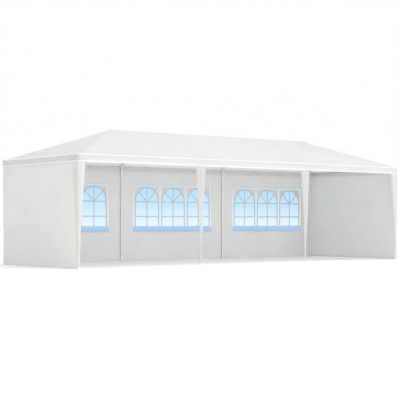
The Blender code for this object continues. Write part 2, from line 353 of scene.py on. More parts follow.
@dataclass(frozen=True)
class PowderCoatedSteel(Finish):
    """Mild steel tube with a white powder coat, baked on.

    The eye sees a smooth satin paint with the fine orange peel of the baked powder, a shade
    darker where the coat is thin, and no bare metal.
    """

    coat: str
    thin: str
    roughness: float = 0.36
    uneven: float = 0.06
    # Real orange peel is about 2 mm across, drawn 4 mm so that highlights show it
    peel_mm: float = 4.0
    peel_depth_mm: float = 0.05
    cloud_mm: float = 110.0
    ior: float = 1.5
    clear_coat: float = 0.2
    clear_coat_roughness: float = 0.25

    def shade(self, tree: bpy.types.NodeTree) -> bpy.types.NodeSocket:
        """Build the paint: one satin coat over steel.

        Args:
            tree: The material's node tree.

        Returns:
            The shader's output socket.
        """
        place = add_node(tree, "ShaderNodeTexCoord").outputs["Object"]
        peel = add_node(tree, "ShaderNodeTexNoise", inputs={
            "Vector": place, "Scale": 1.0 / (self.peel_mm * MM), "Detail": 1.0})
        cloud = add_node(tree, "ShaderNodeTexNoise", inputs={
            "Vector": place, "Scale": 1.0 / (self.cloud_mm * MM), "Detail": 3.0})
        tone = add_node(tree, "ShaderNodeMix", {"data_type": "RGBA"}, {
            0: cloud.outputs["Fac"], 6: linear(self.thin), 7: linear(self.coat)})
        satin = add_node(tree, "ShaderNodeMapRange", inputs={
            "Value": cloud.outputs["Fac"], "To Min": self.roughness - self.uneven,
            "To Max": self.roughness + self.uneven})
        bumps = add_node(tree, "ShaderNodeBump", inputs={
            "Strength": 0.35, "Distance": self.peel_depth_mm * MM,
            "Height": peel.outputs["Fac"]})
        paint = add_node(tree, "ShaderNodeBsdfPrincipled", inputs={
            "Base Color": tone.outputs[2], "Roughness": satin.outputs[0], "Metallic": 0.0,
            "IOR": self.ior, "Coat Weight": self.clear_coat,
            "Coat Roughness": self.clear_coat_roughness, "Normal": bumps.outputs[0]})
        return paint.outputs[0]


@dataclass(frozen=True)
class ClearVinylFilm(Finish):
    """Clear calendered PVC film, the window sheet.

    The film is see-through. Its panes are tinted with painted sky light, bluest at the top and
    pale below, the band along the sill is blue and turns grey towards its edge, the strips round
    the panes are almost clear and a little bluer at the top, and the slack surface throws broken
    reflections.
    """

    # Tints by height, which are painted sky light: bluest at the head and palest at the foot
    head: str
    middle: str
    foot: str
    sill: str
    sill_edge: str
    strip_head: str
    strip_foot: str
    sill_height: float
    foot_height: float
    head_height: float
    # The sill band ends between these shares of its height, and the panes are palest at this
    # share of the film's height
    sill_end: tuple[float, float] = (0.94, 1.03)
    palest: float = 0.55
    # What such a film throws back when looked at squarely, slack and dust included, and the
    # power by which that rises towards its edge-on view
    gloss: float = 0.105
    gloss_power: float = 5.0
    roughness: float = 0.09
    ior: float = 1.53
    slack_mm: float = 1.2
    slack_pitch_mm: float = 143.0

    def shade(self, tree: bpy.types.NodeTree) -> bpy.types.NodeSocket:
        """Build the film: a see-through sheet tinted with painted sky light, under a thin gloss.

        Args:
            tree: The material's node tree.

        Returns:
            The shader's output socket.
        """
        place = add_node(tree, "ShaderNodeTexCoord").outputs["Object"]
        split = add_node(tree, "ShaderNodeSeparateXYZ", inputs={"Vector": place})
        height = add_node(tree, "ShaderNodeMapRange", inputs={
            "Value": split.outputs["Z"], "From Min": self.sill_height,
            "From Max": self.head_height})
        # Painted sky light: the tint by height
        ramp = add_node(tree, "ShaderNodeValToRGB", inputs={"Fac": height.outputs[0]})
        rise = (self.foot_height - self.sill_height) / (self.head_height - self.sill_height)
        bands = ramp.color_ramp.elements
        bands[0].position, bands[0].color = 0.0, face_tint(self.sill_edge)
        bands[1].position, bands[1].color = 1.0, face_tint(self.head)
        for position, code in ((rise * self.sill_end[0], self.sill),
                               (rise * self.sill_end[1], self.foot),
                               (self.palest, self.middle)):
            bands.new(position).color = face_tint(code)
        slack = add_node(tree, "ShaderNodeTexNoise", inputs={
            "Vector": place, "Scale": 1.0 / (self.slack_pitch_mm * MM), "Detail": 2.0})
        waves = add_node(tree, "ShaderNodeBump", inputs={
            "Strength": 0.5, "Distance": self.slack_mm * MM, "Height": slack.outputs["Fac"]})
        strip = add_node(tree, "ShaderNodeMix", {"data_type": "RGBA"}, {
            0: height.outputs[0], 6: face_tint(self.strip_foot),
            7: face_tint(self.strip_head)})
        cloth = add_node(tree, "ShaderNodeAttribute", {"attribute_name": "cloth"})
        pane = add_node(tree, "ShaderNodeSeparateXYZ", inputs={
            "Vector": cloth.outputs["Vector"]})
        tint = add_node(tree, "ShaderNodeMix", {"data_type": "RGBA"}, {
            0: pane.outputs["Z"], 6: strip.outputs[2], 7: ramp.outputs["Color"]})
        seen = add_node(tree, "ShaderNodeBsdfTransparent", inputs={"Color": tint.outputs[2]})
        skin = add_node(tree, "ShaderNodeBsdfPrincipled", inputs={
            "Base Color": tint.outputs[2], "Roughness": self.roughness, "IOR": self.ior,
            "Normal": waves.outputs[0]})
        edge = add_node(tree, "ShaderNodeLayerWeight", inputs={
            "Blend": 0.5, "Normal": waves.outputs[0]})
        steep = add_node(tree, "ShaderNodeMath", {"operation": "POWER"}, {
            0: edge.outputs["Facing"], 1: self.gloss_power})
        share = add_node(tree, "ShaderNodeMath", {"operation": "ADD", "use_clamp": True}, {
            0: steep.outputs[0], 1: self.gloss})
        both = add_node(tree, "ShaderNodeMixShader", inputs={
            0: share.outputs[0], 1: seen.outputs[0], 2: skin.outputs[0]})
        return both.outputs[0]


@dataclass(frozen=True)
class PrintedVinyl(Finish):
    """White screen print on the window film, the frames of the arched windows.

    The ink lies in an even, dull layer with a slight grain. Its white is given as grey, which is
    painted shade: white ink seen against the light.
    """

    # The ink's colour, given grey as painted shade, and its colour where the grain thins it
    ink: str
    thin: str
    roughness: float = 0.62
    # Real print grain is about 0.3 mm, drawn 3 mm
    grain_mm: float = 3.0
    grain_depth_mm: float = 0.1
    ior: float = 1.5

    def shade(self, tree: bpy.types.NodeTree) -> bpy.types.NodeSocket:
        """Build the ink: dull, with a fine grain in tone and relief.

        Args:
            tree: The material's node tree.

        Returns:
            The shader's output socket.
        """
        place = add_node(tree, "ShaderNodeTexCoord").outputs["Object"]
        grain = add_node(tree, "ShaderNodeTexNoise", inputs={
            "Vector": place, "Scale": 1.0 / (self.grain_mm * MM), "Detail": 2.0})
        tone = add_node(tree, "ShaderNodeMix", {"data_type": "RGBA"}, {
            0: grain.outputs["Fac"], 6: linear(self.thin), 7: linear(self.ink)})
        relief = add_node(tree, "ShaderNodeBump", inputs={
            "Strength": 0.3, "Distance": self.grain_depth_mm * MM,
            "Height": grain.outputs["Fac"]})
        layer = add_node(tree, "ShaderNodeBsdfPrincipled", inputs={
            "Base Color": tone.outputs[2], "Roughness": self.roughness, "IOR": self.ior,
            "Normal": relief.outputs[0]})
        return layer.outputs[0]


@dataclass(frozen=True)
class PolyesterVoile(Finish):
    """Plain-woven polyester voile, the cloth of the leg drapes.

    Fine smooth threads let light through, so that the folds glow. Single thicker threads run
    down the cloth as faint raised streaks, painted lighter as a painted highlight.
    """

    # The colour on the thicker threads, lighter as painted highlight, and the colour between them
    lit: str
    fold: str
    glow: float = 0.36
    roughness: float = 0.72
    sheen: float = 0.35
    sheen_roughness: float = 0.4
    # Real threads are 0.3 mm apart, drawn 3 mm
    thread_mm: float = 3.0
    thread_depth_mm: float = 0.18
    # The thicker threads lie 7 mm apart here, closer than real, and taper over this length
    slub_apart_mm: float = 7.0
    slub_length_mm: float = 330.0
    ior: float = 1.54

    def shade(self, tree: bpy.types.NodeTree) -> bpy.types.NodeSocket:
        """Build the cloth: soft threads that pass on about a third of the light.

        Args:
            tree: The material's node tree.

        Returns:
            The shader's output socket.
        """
        cloth = add_node(tree, "ShaderNodeAttribute", {"attribute_name": "cloth"})
        place = cloth.outputs["Vector"]
        warp = add_node(tree, "ShaderNodeTexWave", {"bands_direction": "X"}, {
            "Vector": place, "Scale": wave_scale(self.thread_mm), "Distortion": 0.4})
        weft = add_node(tree, "ShaderNodeTexWave", {"bands_direction": "Y"}, {
            "Vector": place, "Scale": wave_scale(self.thread_mm), "Distortion": 0.4})
        crossing = add_node(tree, "ShaderNodeMath", {"operation": "MULTIPLY"}, {
            0: warp.outputs["Fac"], 1: weft.outputs["Fac"]})
        stretched = add_node(tree, "ShaderNodeMapping", {"vector_type": "POINT"}, {
            "Vector": place, "Scale": (1.0 / (self.slub_apart_mm * MM),
                                       1.0 / (self.slub_length_mm * MM), 1.0)})
        slubs = add_node(tree, "ShaderNodeTexNoise", inputs={
            "Vector": stretched.outputs[0], "Scale": 1.0, "Detail": 2.0})
        relief = add_node(tree, "ShaderNodeBump", inputs={
            "Strength": 0.5, "Distance": self.thread_depth_mm * MM,
            "Height": crossing.outputs[0]})
        streaks = add_node(tree, "ShaderNodeBump", inputs={
            "Strength": 0.4, "Distance": 2.0 * self.thread_depth_mm * MM,
            "Height": slubs.outputs["Fac"], "Normal": relief.outputs[0]})
        # Painted highlight: lighter along the thicker threads
        tone = add_node(tree, "ShaderNodeMix", {"data_type": "RGBA"}, {
            0: slubs.outputs["Fac"], 6: linear(self.fold), 7: linear(self.lit)})
        threads = add_node(tree, "ShaderNodeBsdfPrincipled", inputs={
            "Base Color": tone.outputs[2], "Roughness": self.roughness, "IOR": self.ior,
            "Sheen Weight": self.sheen, "Sheen Roughness": self.sheen_roughness,
            "Normal": streaks.outputs[0]})
        through = add_node(tree, "ShaderNodeBsdfTranslucent", inputs={
            "Color": tone.outputs[2], "Normal": streaks.outputs[0]})
        both = add_node(tree, "ShaderNodeMixShader", inputs={
            0: self.glow, 1: threads.outputs[0], 2: through.outputs[0]})
        return both.outputs[0]


@dataclass(frozen=True)
class NylonWebbing(Finish):
    """Woven nylon webbing, the straps that hold the walls.

    A ribbed band: the ribs run across it with painted shade in the grooves between them, and
    the satin yarn has a low sheen.
    """

    yarn: str
    groove_shade: str
    roughness: float = 0.6
    # Real ribs are 1.2 mm apart, drawn 3 mm
    rib_mm: float = 3.0
    rib_depth_mm: float = 0.3
    sheen: float = 0.2
    ior: float = 1.53

    def shade(self, tree: bpy.types.NodeTree) -> bpy.types.NodeSocket:
        """Build the webbing: ribs in tone and relief.

        Args:
            tree: The material's node tree.

        Returns:
            The shader's output socket.
        """
        place = add_node(tree, "ShaderNodeTexCoord").outputs["Object"]
        ribs = add_node(tree, "ShaderNodeTexWave", {"bands_direction": "Z"}, {
            "Vector": place, "Scale": wave_scale(self.rib_mm), "Distortion": 1.0})
        # Painted shade: the grooves between the ribs are darker
        tone = add_node(tree, "ShaderNodeMix", {"data_type": "RGBA"}, {
            0: ribs.outputs["Fac"], 6: linear(self.groove_shade), 7: linear(self.yarn)})
        relief = add_node(tree, "ShaderNodeBump", inputs={
            "Strength": 0.6, "Distance": self.rib_depth_mm * MM,
            "Height": ribs.outputs["Fac"]})
        band = add_node(tree, "ShaderNodeBsdfPrincipled", inputs={
            "Base Color": tone.outputs[2], "Roughness": self.roughness, "IOR": self.ior,
            "Sheen Weight": self.sheen, "Normal": relief.outputs[0]})
        return band.outputs[0]


@dataclass(frozen=True)
class StudioFloor(Finish):
    """Pale seamless floor of the studio, matt and almost even."""

    bright: str
    dim: str
    cloud_mm: float = 2500.0
    roughness: float = 0.9

    def shade(self, tree: bpy.types.NodeTree) -> bpy.types.NodeSocket:
        """Build the floor: a faint cloudiness in a matt white.

        Args:
            tree: The material's node tree.

        Returns:
            The shader's output socket.
        """
        place = add_node(tree, "ShaderNodeTexCoord").outputs["Object"]
        cloud = add_node(tree, "ShaderNodeTexNoise", inputs={
            "Vector": place, "Scale": 1.0 / (self.cloud_mm * MM), "Detail": 3.0})
        tone = add_node(tree, "ShaderNodeMix", {"data_type": "RGBA"}, {
            0: cloud.outputs["Fac"], 6: linear(self.dim), 7: linear(self.bright)})
        matt = add_node(tree, "ShaderNodeBsdfPrincipled", inputs={
            "Base Color": tone.outputs[2], "Roughness": self.roughness})
        return matt.outputs[0]


ROOF_FINISH = WovenPolyethylene("laminated_woven_polyethylene_roof", "#F5F5F6", "#F3F3F3",
                                glow=0.66)
WALL_FINISH = WovenPolyethylene("laminated_woven_polyethylene_wall", "#EFEFED", "#ECECEA",
                                glow=0.36)
TUBE_FINISH = PowderCoatedSteel("powder_coated_steel_tube", "#F1F1F1", "#EAEAEB")
FITTING_FINISH = PowderCoatedSteel("powder_coated_steel_fitting", "#E8E8E9", "#E0E1E2",
                                   roughness=0.42)
PIN_FINISH = PowderCoatedSteel("powder_coated_steel_pin", "#C2C5C8", "#B6B9BD",
                               roughness=0.34)
# White ink given in painted shade: the frame darker and bluer, the corners lighter and warmer
FRAME_PRINT = PrintedVinyl("screen_printed_window_frame", "#C4CBD2", "#BBC3CA")
CORNER_PRINT = PrintedVinyl("screen_printed_window_corner", "#DEDBD5", "#D6D3CC")
VOILE_FINISH = PolyesterVoile("woven_polyester_voile", "#F2F1EF", "#EAE9E7")
STRAP_FINISH = NylonWebbing("woven_nylon_webbing", "#ECECEA", "#D4D4D2")
FLOOR_FINISH = StudioFloor("matt_studio_floor", "#FAFAFA", "#F5F5F5")


@dataclass(frozen=True)
class TentPlan:
    """The tent's main sizes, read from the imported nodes."""

    half_length: float
    half_width: float
    eave: float
    ridge: float
    valance_bottom: float
    ridge_half: float
    leg_x: tuple[float, ...]
    leg_y: float
    tube_axis: float
    tube_radius: float
    fitting_radius: float

    @classmethod
    def from_frame(cls) -> "TentPlan":
        """Read the plan from the frame.

        Returns:
            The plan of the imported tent.
        """
        low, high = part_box("roof_cover")
        legs = [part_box(f"post_front_{column}") for column in COLUMNS]
        leg_y = -(legs[0][0].y + legs[0][1].y) / 2.0
        tube_low, tube_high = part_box("eave_tube_front_middle")
        return cls(
            half_length=high.x,
            half_width=high.y,
            eave=low.z + VALANCE_DROP,
            ridge=high.z,
            valance_bottom=low.z,
            ridge_half=high.x - RIDGE_INSET,
            leg_x=tuple((first.x + last.x) / 2.0 for first, last in legs),
            leg_y=leg_y,
            tube_axis=(tube_low.z + tube_high.z) / 2.0,
            tube_radius=(tube_high.z - tube_low.z) / 2.0,
            fitting_radius=-leg_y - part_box("eave_fitting_front_mid_left")[0].y,
        )

    @property
    def side_slope(self) -> float:
        """Rise over run of the long roof slopes."""
        return (self.ridge - self.eave) / self.half_width

    @property
    def slope_run(self) -> float:
        """Length of a long slope, from the eave up to the ridge."""
        return math.hypot(self.half_width, self.ridge - self.eave)

    @property
    def end_slope(self) -> float:
        """Rise over run of the roof slopes at the ends."""
        return (self.ridge - self.eave) / (self.half_length - self.ridge_half)


def stops(length: float, spacing: float, breaks: Sequence[float] = ()) -> list[float]:
    """Divide a length evenly between the breaks, which are all kept.

    Args:
        length: The whole length.
        spacing: The widest step wanted.
        breaks: Places that must be stops.

    Returns:
        Rising positions from 0 to length.
    """
    marks = sorted({0.0, length, *(place for place in breaks if 0.0 < place < length)})
    found = [0.0]
    for start, end in zip(marks, marks[1:]):
        steps = max(1, math.ceil((end - start) / spacing - TINY))
        found += [start + (end - start) * step / steps for step in range(1, steps + 1)]
    return found


class SheetMesh:
    """Collects the points and faces of one sheet, with its flat cloth coordinates."""

    def __init__(self, name: str) -> None:
        """Start an empty sheet.

        Args:
            name: The name of the piece that it becomes.
        """
        self.name = name
        self.shape = bmesh.new()
        self.cloth = self.shape.loops.layers.float_vector.new("cloth")
        self.arriving: dict[bmesh.types.BMVert, Vector] = {}
        self.leaving: dict[bmesh.types.BMVert, Vector] = {}

    def point(self, place: Vector, across: float, along: float, doubled: float = 0.0,
              leaving: float | None = None) -> bmesh.types.BMVert:
        """Add a point.

        Args:
            place: Where it lies.
            across: Its place over the flat cloth's width, in metres.
            along: Its place over the flat cloth's length, in metres.
            doubled: 1 where the cloth is double, such as in a hem, and 0 elsewhere.
            leaving: Its place over the width in the quads after it, if a seam runs through it.

        Returns:
            The new vertex.
        """
        corner = self.shape.verts.new(place)
        self.arriving[corner] = Vector((across, along, doubled))
        self.leaving[corner] = Vector((across if leaving is None else leaving, along, doubled))
        return corner

    def faces(self, grid: Sequence[Sequence[bmesh.types.BMVert]],
              keep: Callable[[int, int], bool] | None = None) -> None:
        """Fill the quads of a grid of vertices.

        Args:
            grid: Rows of vertices.
            keep: Says for a row and column whether its quad is made.
        """
        for row, (lower, upper) in enumerate(zip(grid, grid[1:])):
            for column in range(len(lower) - 1):
                if keep is None or keep(row, column):
                    face = self.shape.faces.new((lower[column], lower[column + 1],
                                                 upper[column + 1], upper[column]))
                    sides = (self.leaving, self.arriving, self.arriving, self.leaving)
                    for loop, side in zip(face.loops, sides):
                        loop[self.cloth] = side[loop.vert]

    def finish(self, thickness: float, weld: float = 0.0) -> bpy.types.Object:
        """Turn the sheet into an object with a thickness.

        Args:
            thickness: How thick the sheet is.
            weld: Merge points closer than this, if it isn't 0.

        Returns:
            The new object, shaded smooth.
        """
        if weld:
            bmesh.ops.remove_doubles(self.shape, verts=self.shape.verts, dist=weld)
        bmesh.ops.delete(self.shape, geom=[corner for corner in self.shape.verts
                                           if not corner.link_faces], context="VERTS")
        bmesh.ops.recalc_face_normals(self.shape, faces=self.shape.faces)
        made = add_shape(self.name, self.shape)
        shell = made.modifiers.new("thickness", "SOLIDIFY")
        shell.thickness = thickness
        shell.offset = 0.0
        return made


@dataclass
class SubAssembly(ABC):
    """A group of pieces that belong together on the tent."""

    plan: TentPlan
    pieces: list[bpy.types.Object] = field(default_factory=list, init=False)

    @abstractmethod
    def build(self) -> None:
        """Make the meshes of the group."""

    @abstractmethod
    def dress(self) -> None:
        """Give the pieces their finishes."""

    def keep(self, piece: bpy.types.Object, slot: Slot, *nodes: str) -> bpy.types.Object:
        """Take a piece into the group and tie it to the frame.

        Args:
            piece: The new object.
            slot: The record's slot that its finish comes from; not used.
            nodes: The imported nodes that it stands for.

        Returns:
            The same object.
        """
        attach(piece, BODY)
        if nodes:
            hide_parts(*nodes)
        self.pieces.append(piece)
        return piece

    def cover(self, pieces: Sequence[bpy.types.Object], finish: Finish) -> None:
        """Give pieces one finish, over all their faces.

        Args:
            pieces: The objects to cover.
            finish: Their finish.
        """
        for piece in pieces:
            if not piece.material_slots:
                piece.data.materials.append(None)
            for place in piece.material_slots:
                place.material = finish.material()

    def make(self) -> None:
        """Build and dress the group, and report its pieces."""
        self.build()
        self.dress()
        for piece in self.pieces:
            LOG.info("%s: %s", type(self).__name__, piece.name)


@dataclass
class SteelFrame(SubAssembly):
    """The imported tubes, legs and fittings, with their lips and spring pins."""

    sleeve: float = 0.100
    round_steps: int = 24
    # The lip rolls round the sleeve's mouth, from just off the tube to just under the sleeve's
    # skin. The shares are of half of its width, at its mouth and on its crown
    lip_height: float = 1.2 * MM
    lip_width: float = 6.0 * MM
    lip_off_tube: float = 0.1 * MM
    lip_under_skin: float = 0.4 * MM
    mouth_share: float = 1.1
    crown_share: float = 0.4
    # The pin's head is a dome whose foot is sunk by a share of its height. It faces down and
    # into the tent, and a little towards the tent's middle
    pin_from_centre: float = 0.068
    pin_radius: float = 4.2 * MM
    pin_height: float = 3.0 * MM
    pin_sunk: float = 0.4
    pin_down: float = 0.6
    pin_to_middle: float = 0.2
    pin_rings: int = 4

    @staticmethod
    def beside(line: Sequence[Vector], place: int) -> list[Vector]:
        """List the neighbours of one centre.

        Args:
            line: The centres in a row.
            place: Which one it is.

        Returns:
            The centres before and after it, where there are any.
        """
        return [line[near] for near in (place - 1, place + 1) if 0 <= near < len(line)]

    def links(self) -> dict[str, list[tuple[Vector, Vector]]]:
        """Work out where each fitting's sleeves point.

        Returns:
            For each row or the ridge, pairs of a centre and a direction.
        """
        plan = self.plan
        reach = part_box("ridge_tube_right")[1].x + self.sleeve
        ridge_x = (-reach, *plan.leg_x[1:-1], reach)
        ridge_low, ridge_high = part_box("ridge_tube_middle")
        ridges = [Vector((x, 0.0, (ridge_low.z + ridge_high.z) / 2.0)) for x in ridge_x]
        eaves = {row: [Vector((x, row.value * plan.leg_y, plan.tube_axis)) for x in plan.leg_x]
                 for row in Row}
        targets: dict[str, list[tuple[Vector, list[Vector]]]] = {"ridge": [
            (centre, [eaves[row][place] for row in Row] + self.beside(ridges, place))
            for place, centre in enumerate(ridges)]}
        for row, centres in eaves.items():
            across = eaves[Row(-row.value)]
            targets[row.name.lower()] = [
                (centre, [Vector((centre.x, centre.y, 0.0)), ridges[place],
                          *self.beside(centres, place),
                          *([across[place]] if place in (0, len(centres) - 1) else [])])
                for place, centre in enumerate(centres)]
        return {name: [(centre, (target - centre).normalized())
                       for centre, ends in group for target in ends]
                for name, group in targets.items()}

    def ring(self, shape: bmesh.types.BMesh, centre: Vector, turn: Matrix,
             radius: float) -> list[bmesh.types.BMVert]:
        """Add a circle of vertices.

        Args:
            shape: The mesh that gets them.
            centre: The circle's centre.
            turn: Turns the z axis to the circle's own.
            radius: Its radius.

        Returns:
            The vertices in order.
        """
        angles = (math.tau * step / self.round_steps for step in range(self.round_steps))
        return [shape.verts.new(centre + turn @ Vector((
            radius * math.cos(angle), radius * math.sin(angle), 0.0))) for angle in angles]

    def join(self, shape: bmesh.types.BMesh,
             rings: Sequence[Sequence[bmesh.types.BMVert]]) -> None:
        """Fill the bands between circles of vertices.

        Args:
            shape: The mesh that gets the faces.
            rings: The circles in order.
        """
        for first, second in zip(rings, rings[1:]):
            for step in range(self.round_steps):
                follow = (step + 1) % self.round_steps
                shape.faces.new((first[step], first[follow], second[follow], second[step]))

    def lip(self, shape: bmesh.types.BMesh, centre: Vector, direction: Vector) -> None:
        """Add the rolled lip at a sleeve's mouth.

        Args:
            shape: The mesh that gets the lip.
            centre: The fitting's centre.
            direction: Which way the sleeve points.
        """
        turn = Vector((0.0, 0.0, 1.0)).rotation_difference(direction).to_matrix()
        inner = self.plan.tube_radius + self.lip_off_tube
        outer = self.plan.fitting_radius
        crown = outer + self.lip_height
        profile = ((inner, self.mouth_share), (outer, 1.0), (crown, self.crown_share),
                   (crown, -self.crown_share), (outer, -1.0), (outer - self.lip_under_skin, -1.0))
        half = self.lip_width / 2.0
        rings = [self.ring(shape, centre + direction * (self.sleeve - half + half * share),
                           turn, radius) for radius, share in profile]
        self.join(shape, [*rings, rings[0]])

    def pin(self, shape: bmesh.types.BMesh, centre: Vector, direction: Vector) -> None:
        """Add the round head of a spring pin, on the side of the sleeve that faces inwards.

        Args:
            shape: The mesh that gets the pin.
            centre: The fitting's centre.
            direction: Which way the sleeve points.
        """
        inwards = Vector((-centre.x * self.pin_to_middle, -centre.y, -self.pin_down))
        side = (inwards - direction * inwards.dot(direction)).normalized()
        turn = Matrix((direction, direction.cross(side), side)).transposed()
        base = centre + direction * self.pin_from_centre + side * (
            self.plan.fitting_radius - self.pin_height * self.pin_sunk)
        rings = []
        for level in range(self.pin_rings):
            angle = 0.5 * math.pi * level / self.pin_rings
            height = self.pin_height * (1.0 + self.pin_sunk) * math.sin(angle)
            rings.append(self.ring(shape, base + side * height, turn,
                                   self.pin_radius * math.cos(angle)))
        self.join(shape, rings)
        shape.faces.new(rings[-1])
        shape.faces.new(list(reversed(rings[0])))

    def build(self) -> None:
        """Add the lips and the pins, one mesh for each row of fittings."""
        makers = {"sleeve_lips": self.lip, "spring_pins": self.pin}
        for row, sleeves in self.links().items():
            for kind, maker in makers.items():
                shape = bmesh.new()
                for centre, direction in sleeves:
                    maker(shape, centre, direction)
                bmesh.ops.recalc_face_normals(shape, faces=shape.faces)
                self.keep(add_shape(f"{kind}_{row}", shape), Slot.FITTING)

    def dress(self) -> None:
        """Powder coat on all the steel."""
        for name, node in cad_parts.items():
            if name.startswith(("post_", "eave_tube", "ridge_tube", "rafter", "hip_rafter")):
                self.cover([node], TUBE_FINISH)
            elif "fitting" in name:
                self.cover([node], FITTING_FINISH)
        self.cover([piece for piece in self.pieces if "lips" in piece.name], FITTING_FINISH)
        self.cover([piece for piece in self.pieces if "pins" in piece.name], PIN_FINISH)


@dataclass(frozen=True)
class Looseness:
    """A soft unevenness of hanging or stretched cloth."""

    height: float
    pitch: float
    seed: float = 0.0

    def at(self, *point: float) -> float:
        """Give how far it lifts the cloth at a point."""
        return self.height * crumple(point, self.pitch, self.seed)


@dataclass(frozen=True)
class RingPoint:
    """A point of one level line of the cover, seen from above.

    The run goes on round all four sides. Arriving and leaving are the places on the flat slopes
    that the point ends and begins, which differ only on a hip.
    """

    spot: Vector
    run: float
    arriving: float
    leaving: float


@dataclass(frozen=True)
class Crease:
    """A soft fold in the cover, from one point of the plan to another."""

    start: tuple[float, float]
    end: tuple[float, float]
    width: float
    height: float

    def lift(self, x: float, y: float) -> float:
        """Give how far the fold lifts the cover.

        Args:
            x: Place along the tent.
            y: Place across the tent.

        Returns:
            The lift, less than 0 for a hollow.
        """
        start, end = Vector(self.start), Vector(self.end)
        line = end - start
        share = (Vector((x, y)) - start).dot(line) / line.length_squared
        inside = min(max(share, 0.0), 1.0)
        off = (Vector((x, y)) - start - line * inside).length / self.width
        return self.height * math.exp(-off * off)


RIDGE_CREASES = (
    Crease((2.64, -0.05), (2.30, -0.40), 0.030, -0.020),
    Crease((2.60, -0.15), (2.72, -0.17), 0.055, -0.034),
    Crease((2.83, -0.08), (2.42, -0.41), 0.028, 0.027),
    Crease((2.66, -0.30), (2.92, -0.36), 0.027, -0.024),
    Crease((2.69, -0.37), (2.95, -0.43), 0.026, 0.020),
    Crease((3.20, -0.40), (3.23, -0.56), 0.028, 0.014),
    Crease((3.36, -0.68), (3.22, -0.86), 0.028, -0.014),
    Crease((-2.72, -0.08), (-2.50, -0.34), 0.034, 0.010),
    Crease((-3.42, -0.74), (-3.24, -0.86), 0.034, -0.009),
)

# Folds in the valance at the left corners, as places along the eave and drops below it
VALANCE_CREASES = (
    Crease((0.03, 0.080), (0.20, 0.084), 0.011, 0.006),
    Crease((0.05, 0.052), (0.16, 0.060), 0.012, 0.005),
    Crease((21.16, 0.018), (21.24, 0.090), 0.018, -0.010),
    Crease((21.04, 0.085), (21.24, 0.134), 0.016, -0.010),
    Crease((21.04, 0.040), (21.14, 0.072), 0.018, 0.008),
    Crease((23.84, 0.035), (23.90, 0.110), 0.022, 0.007),
    Crease((23.96, 0.030), (23.99, 0.120), 0.014, 0.006),
)


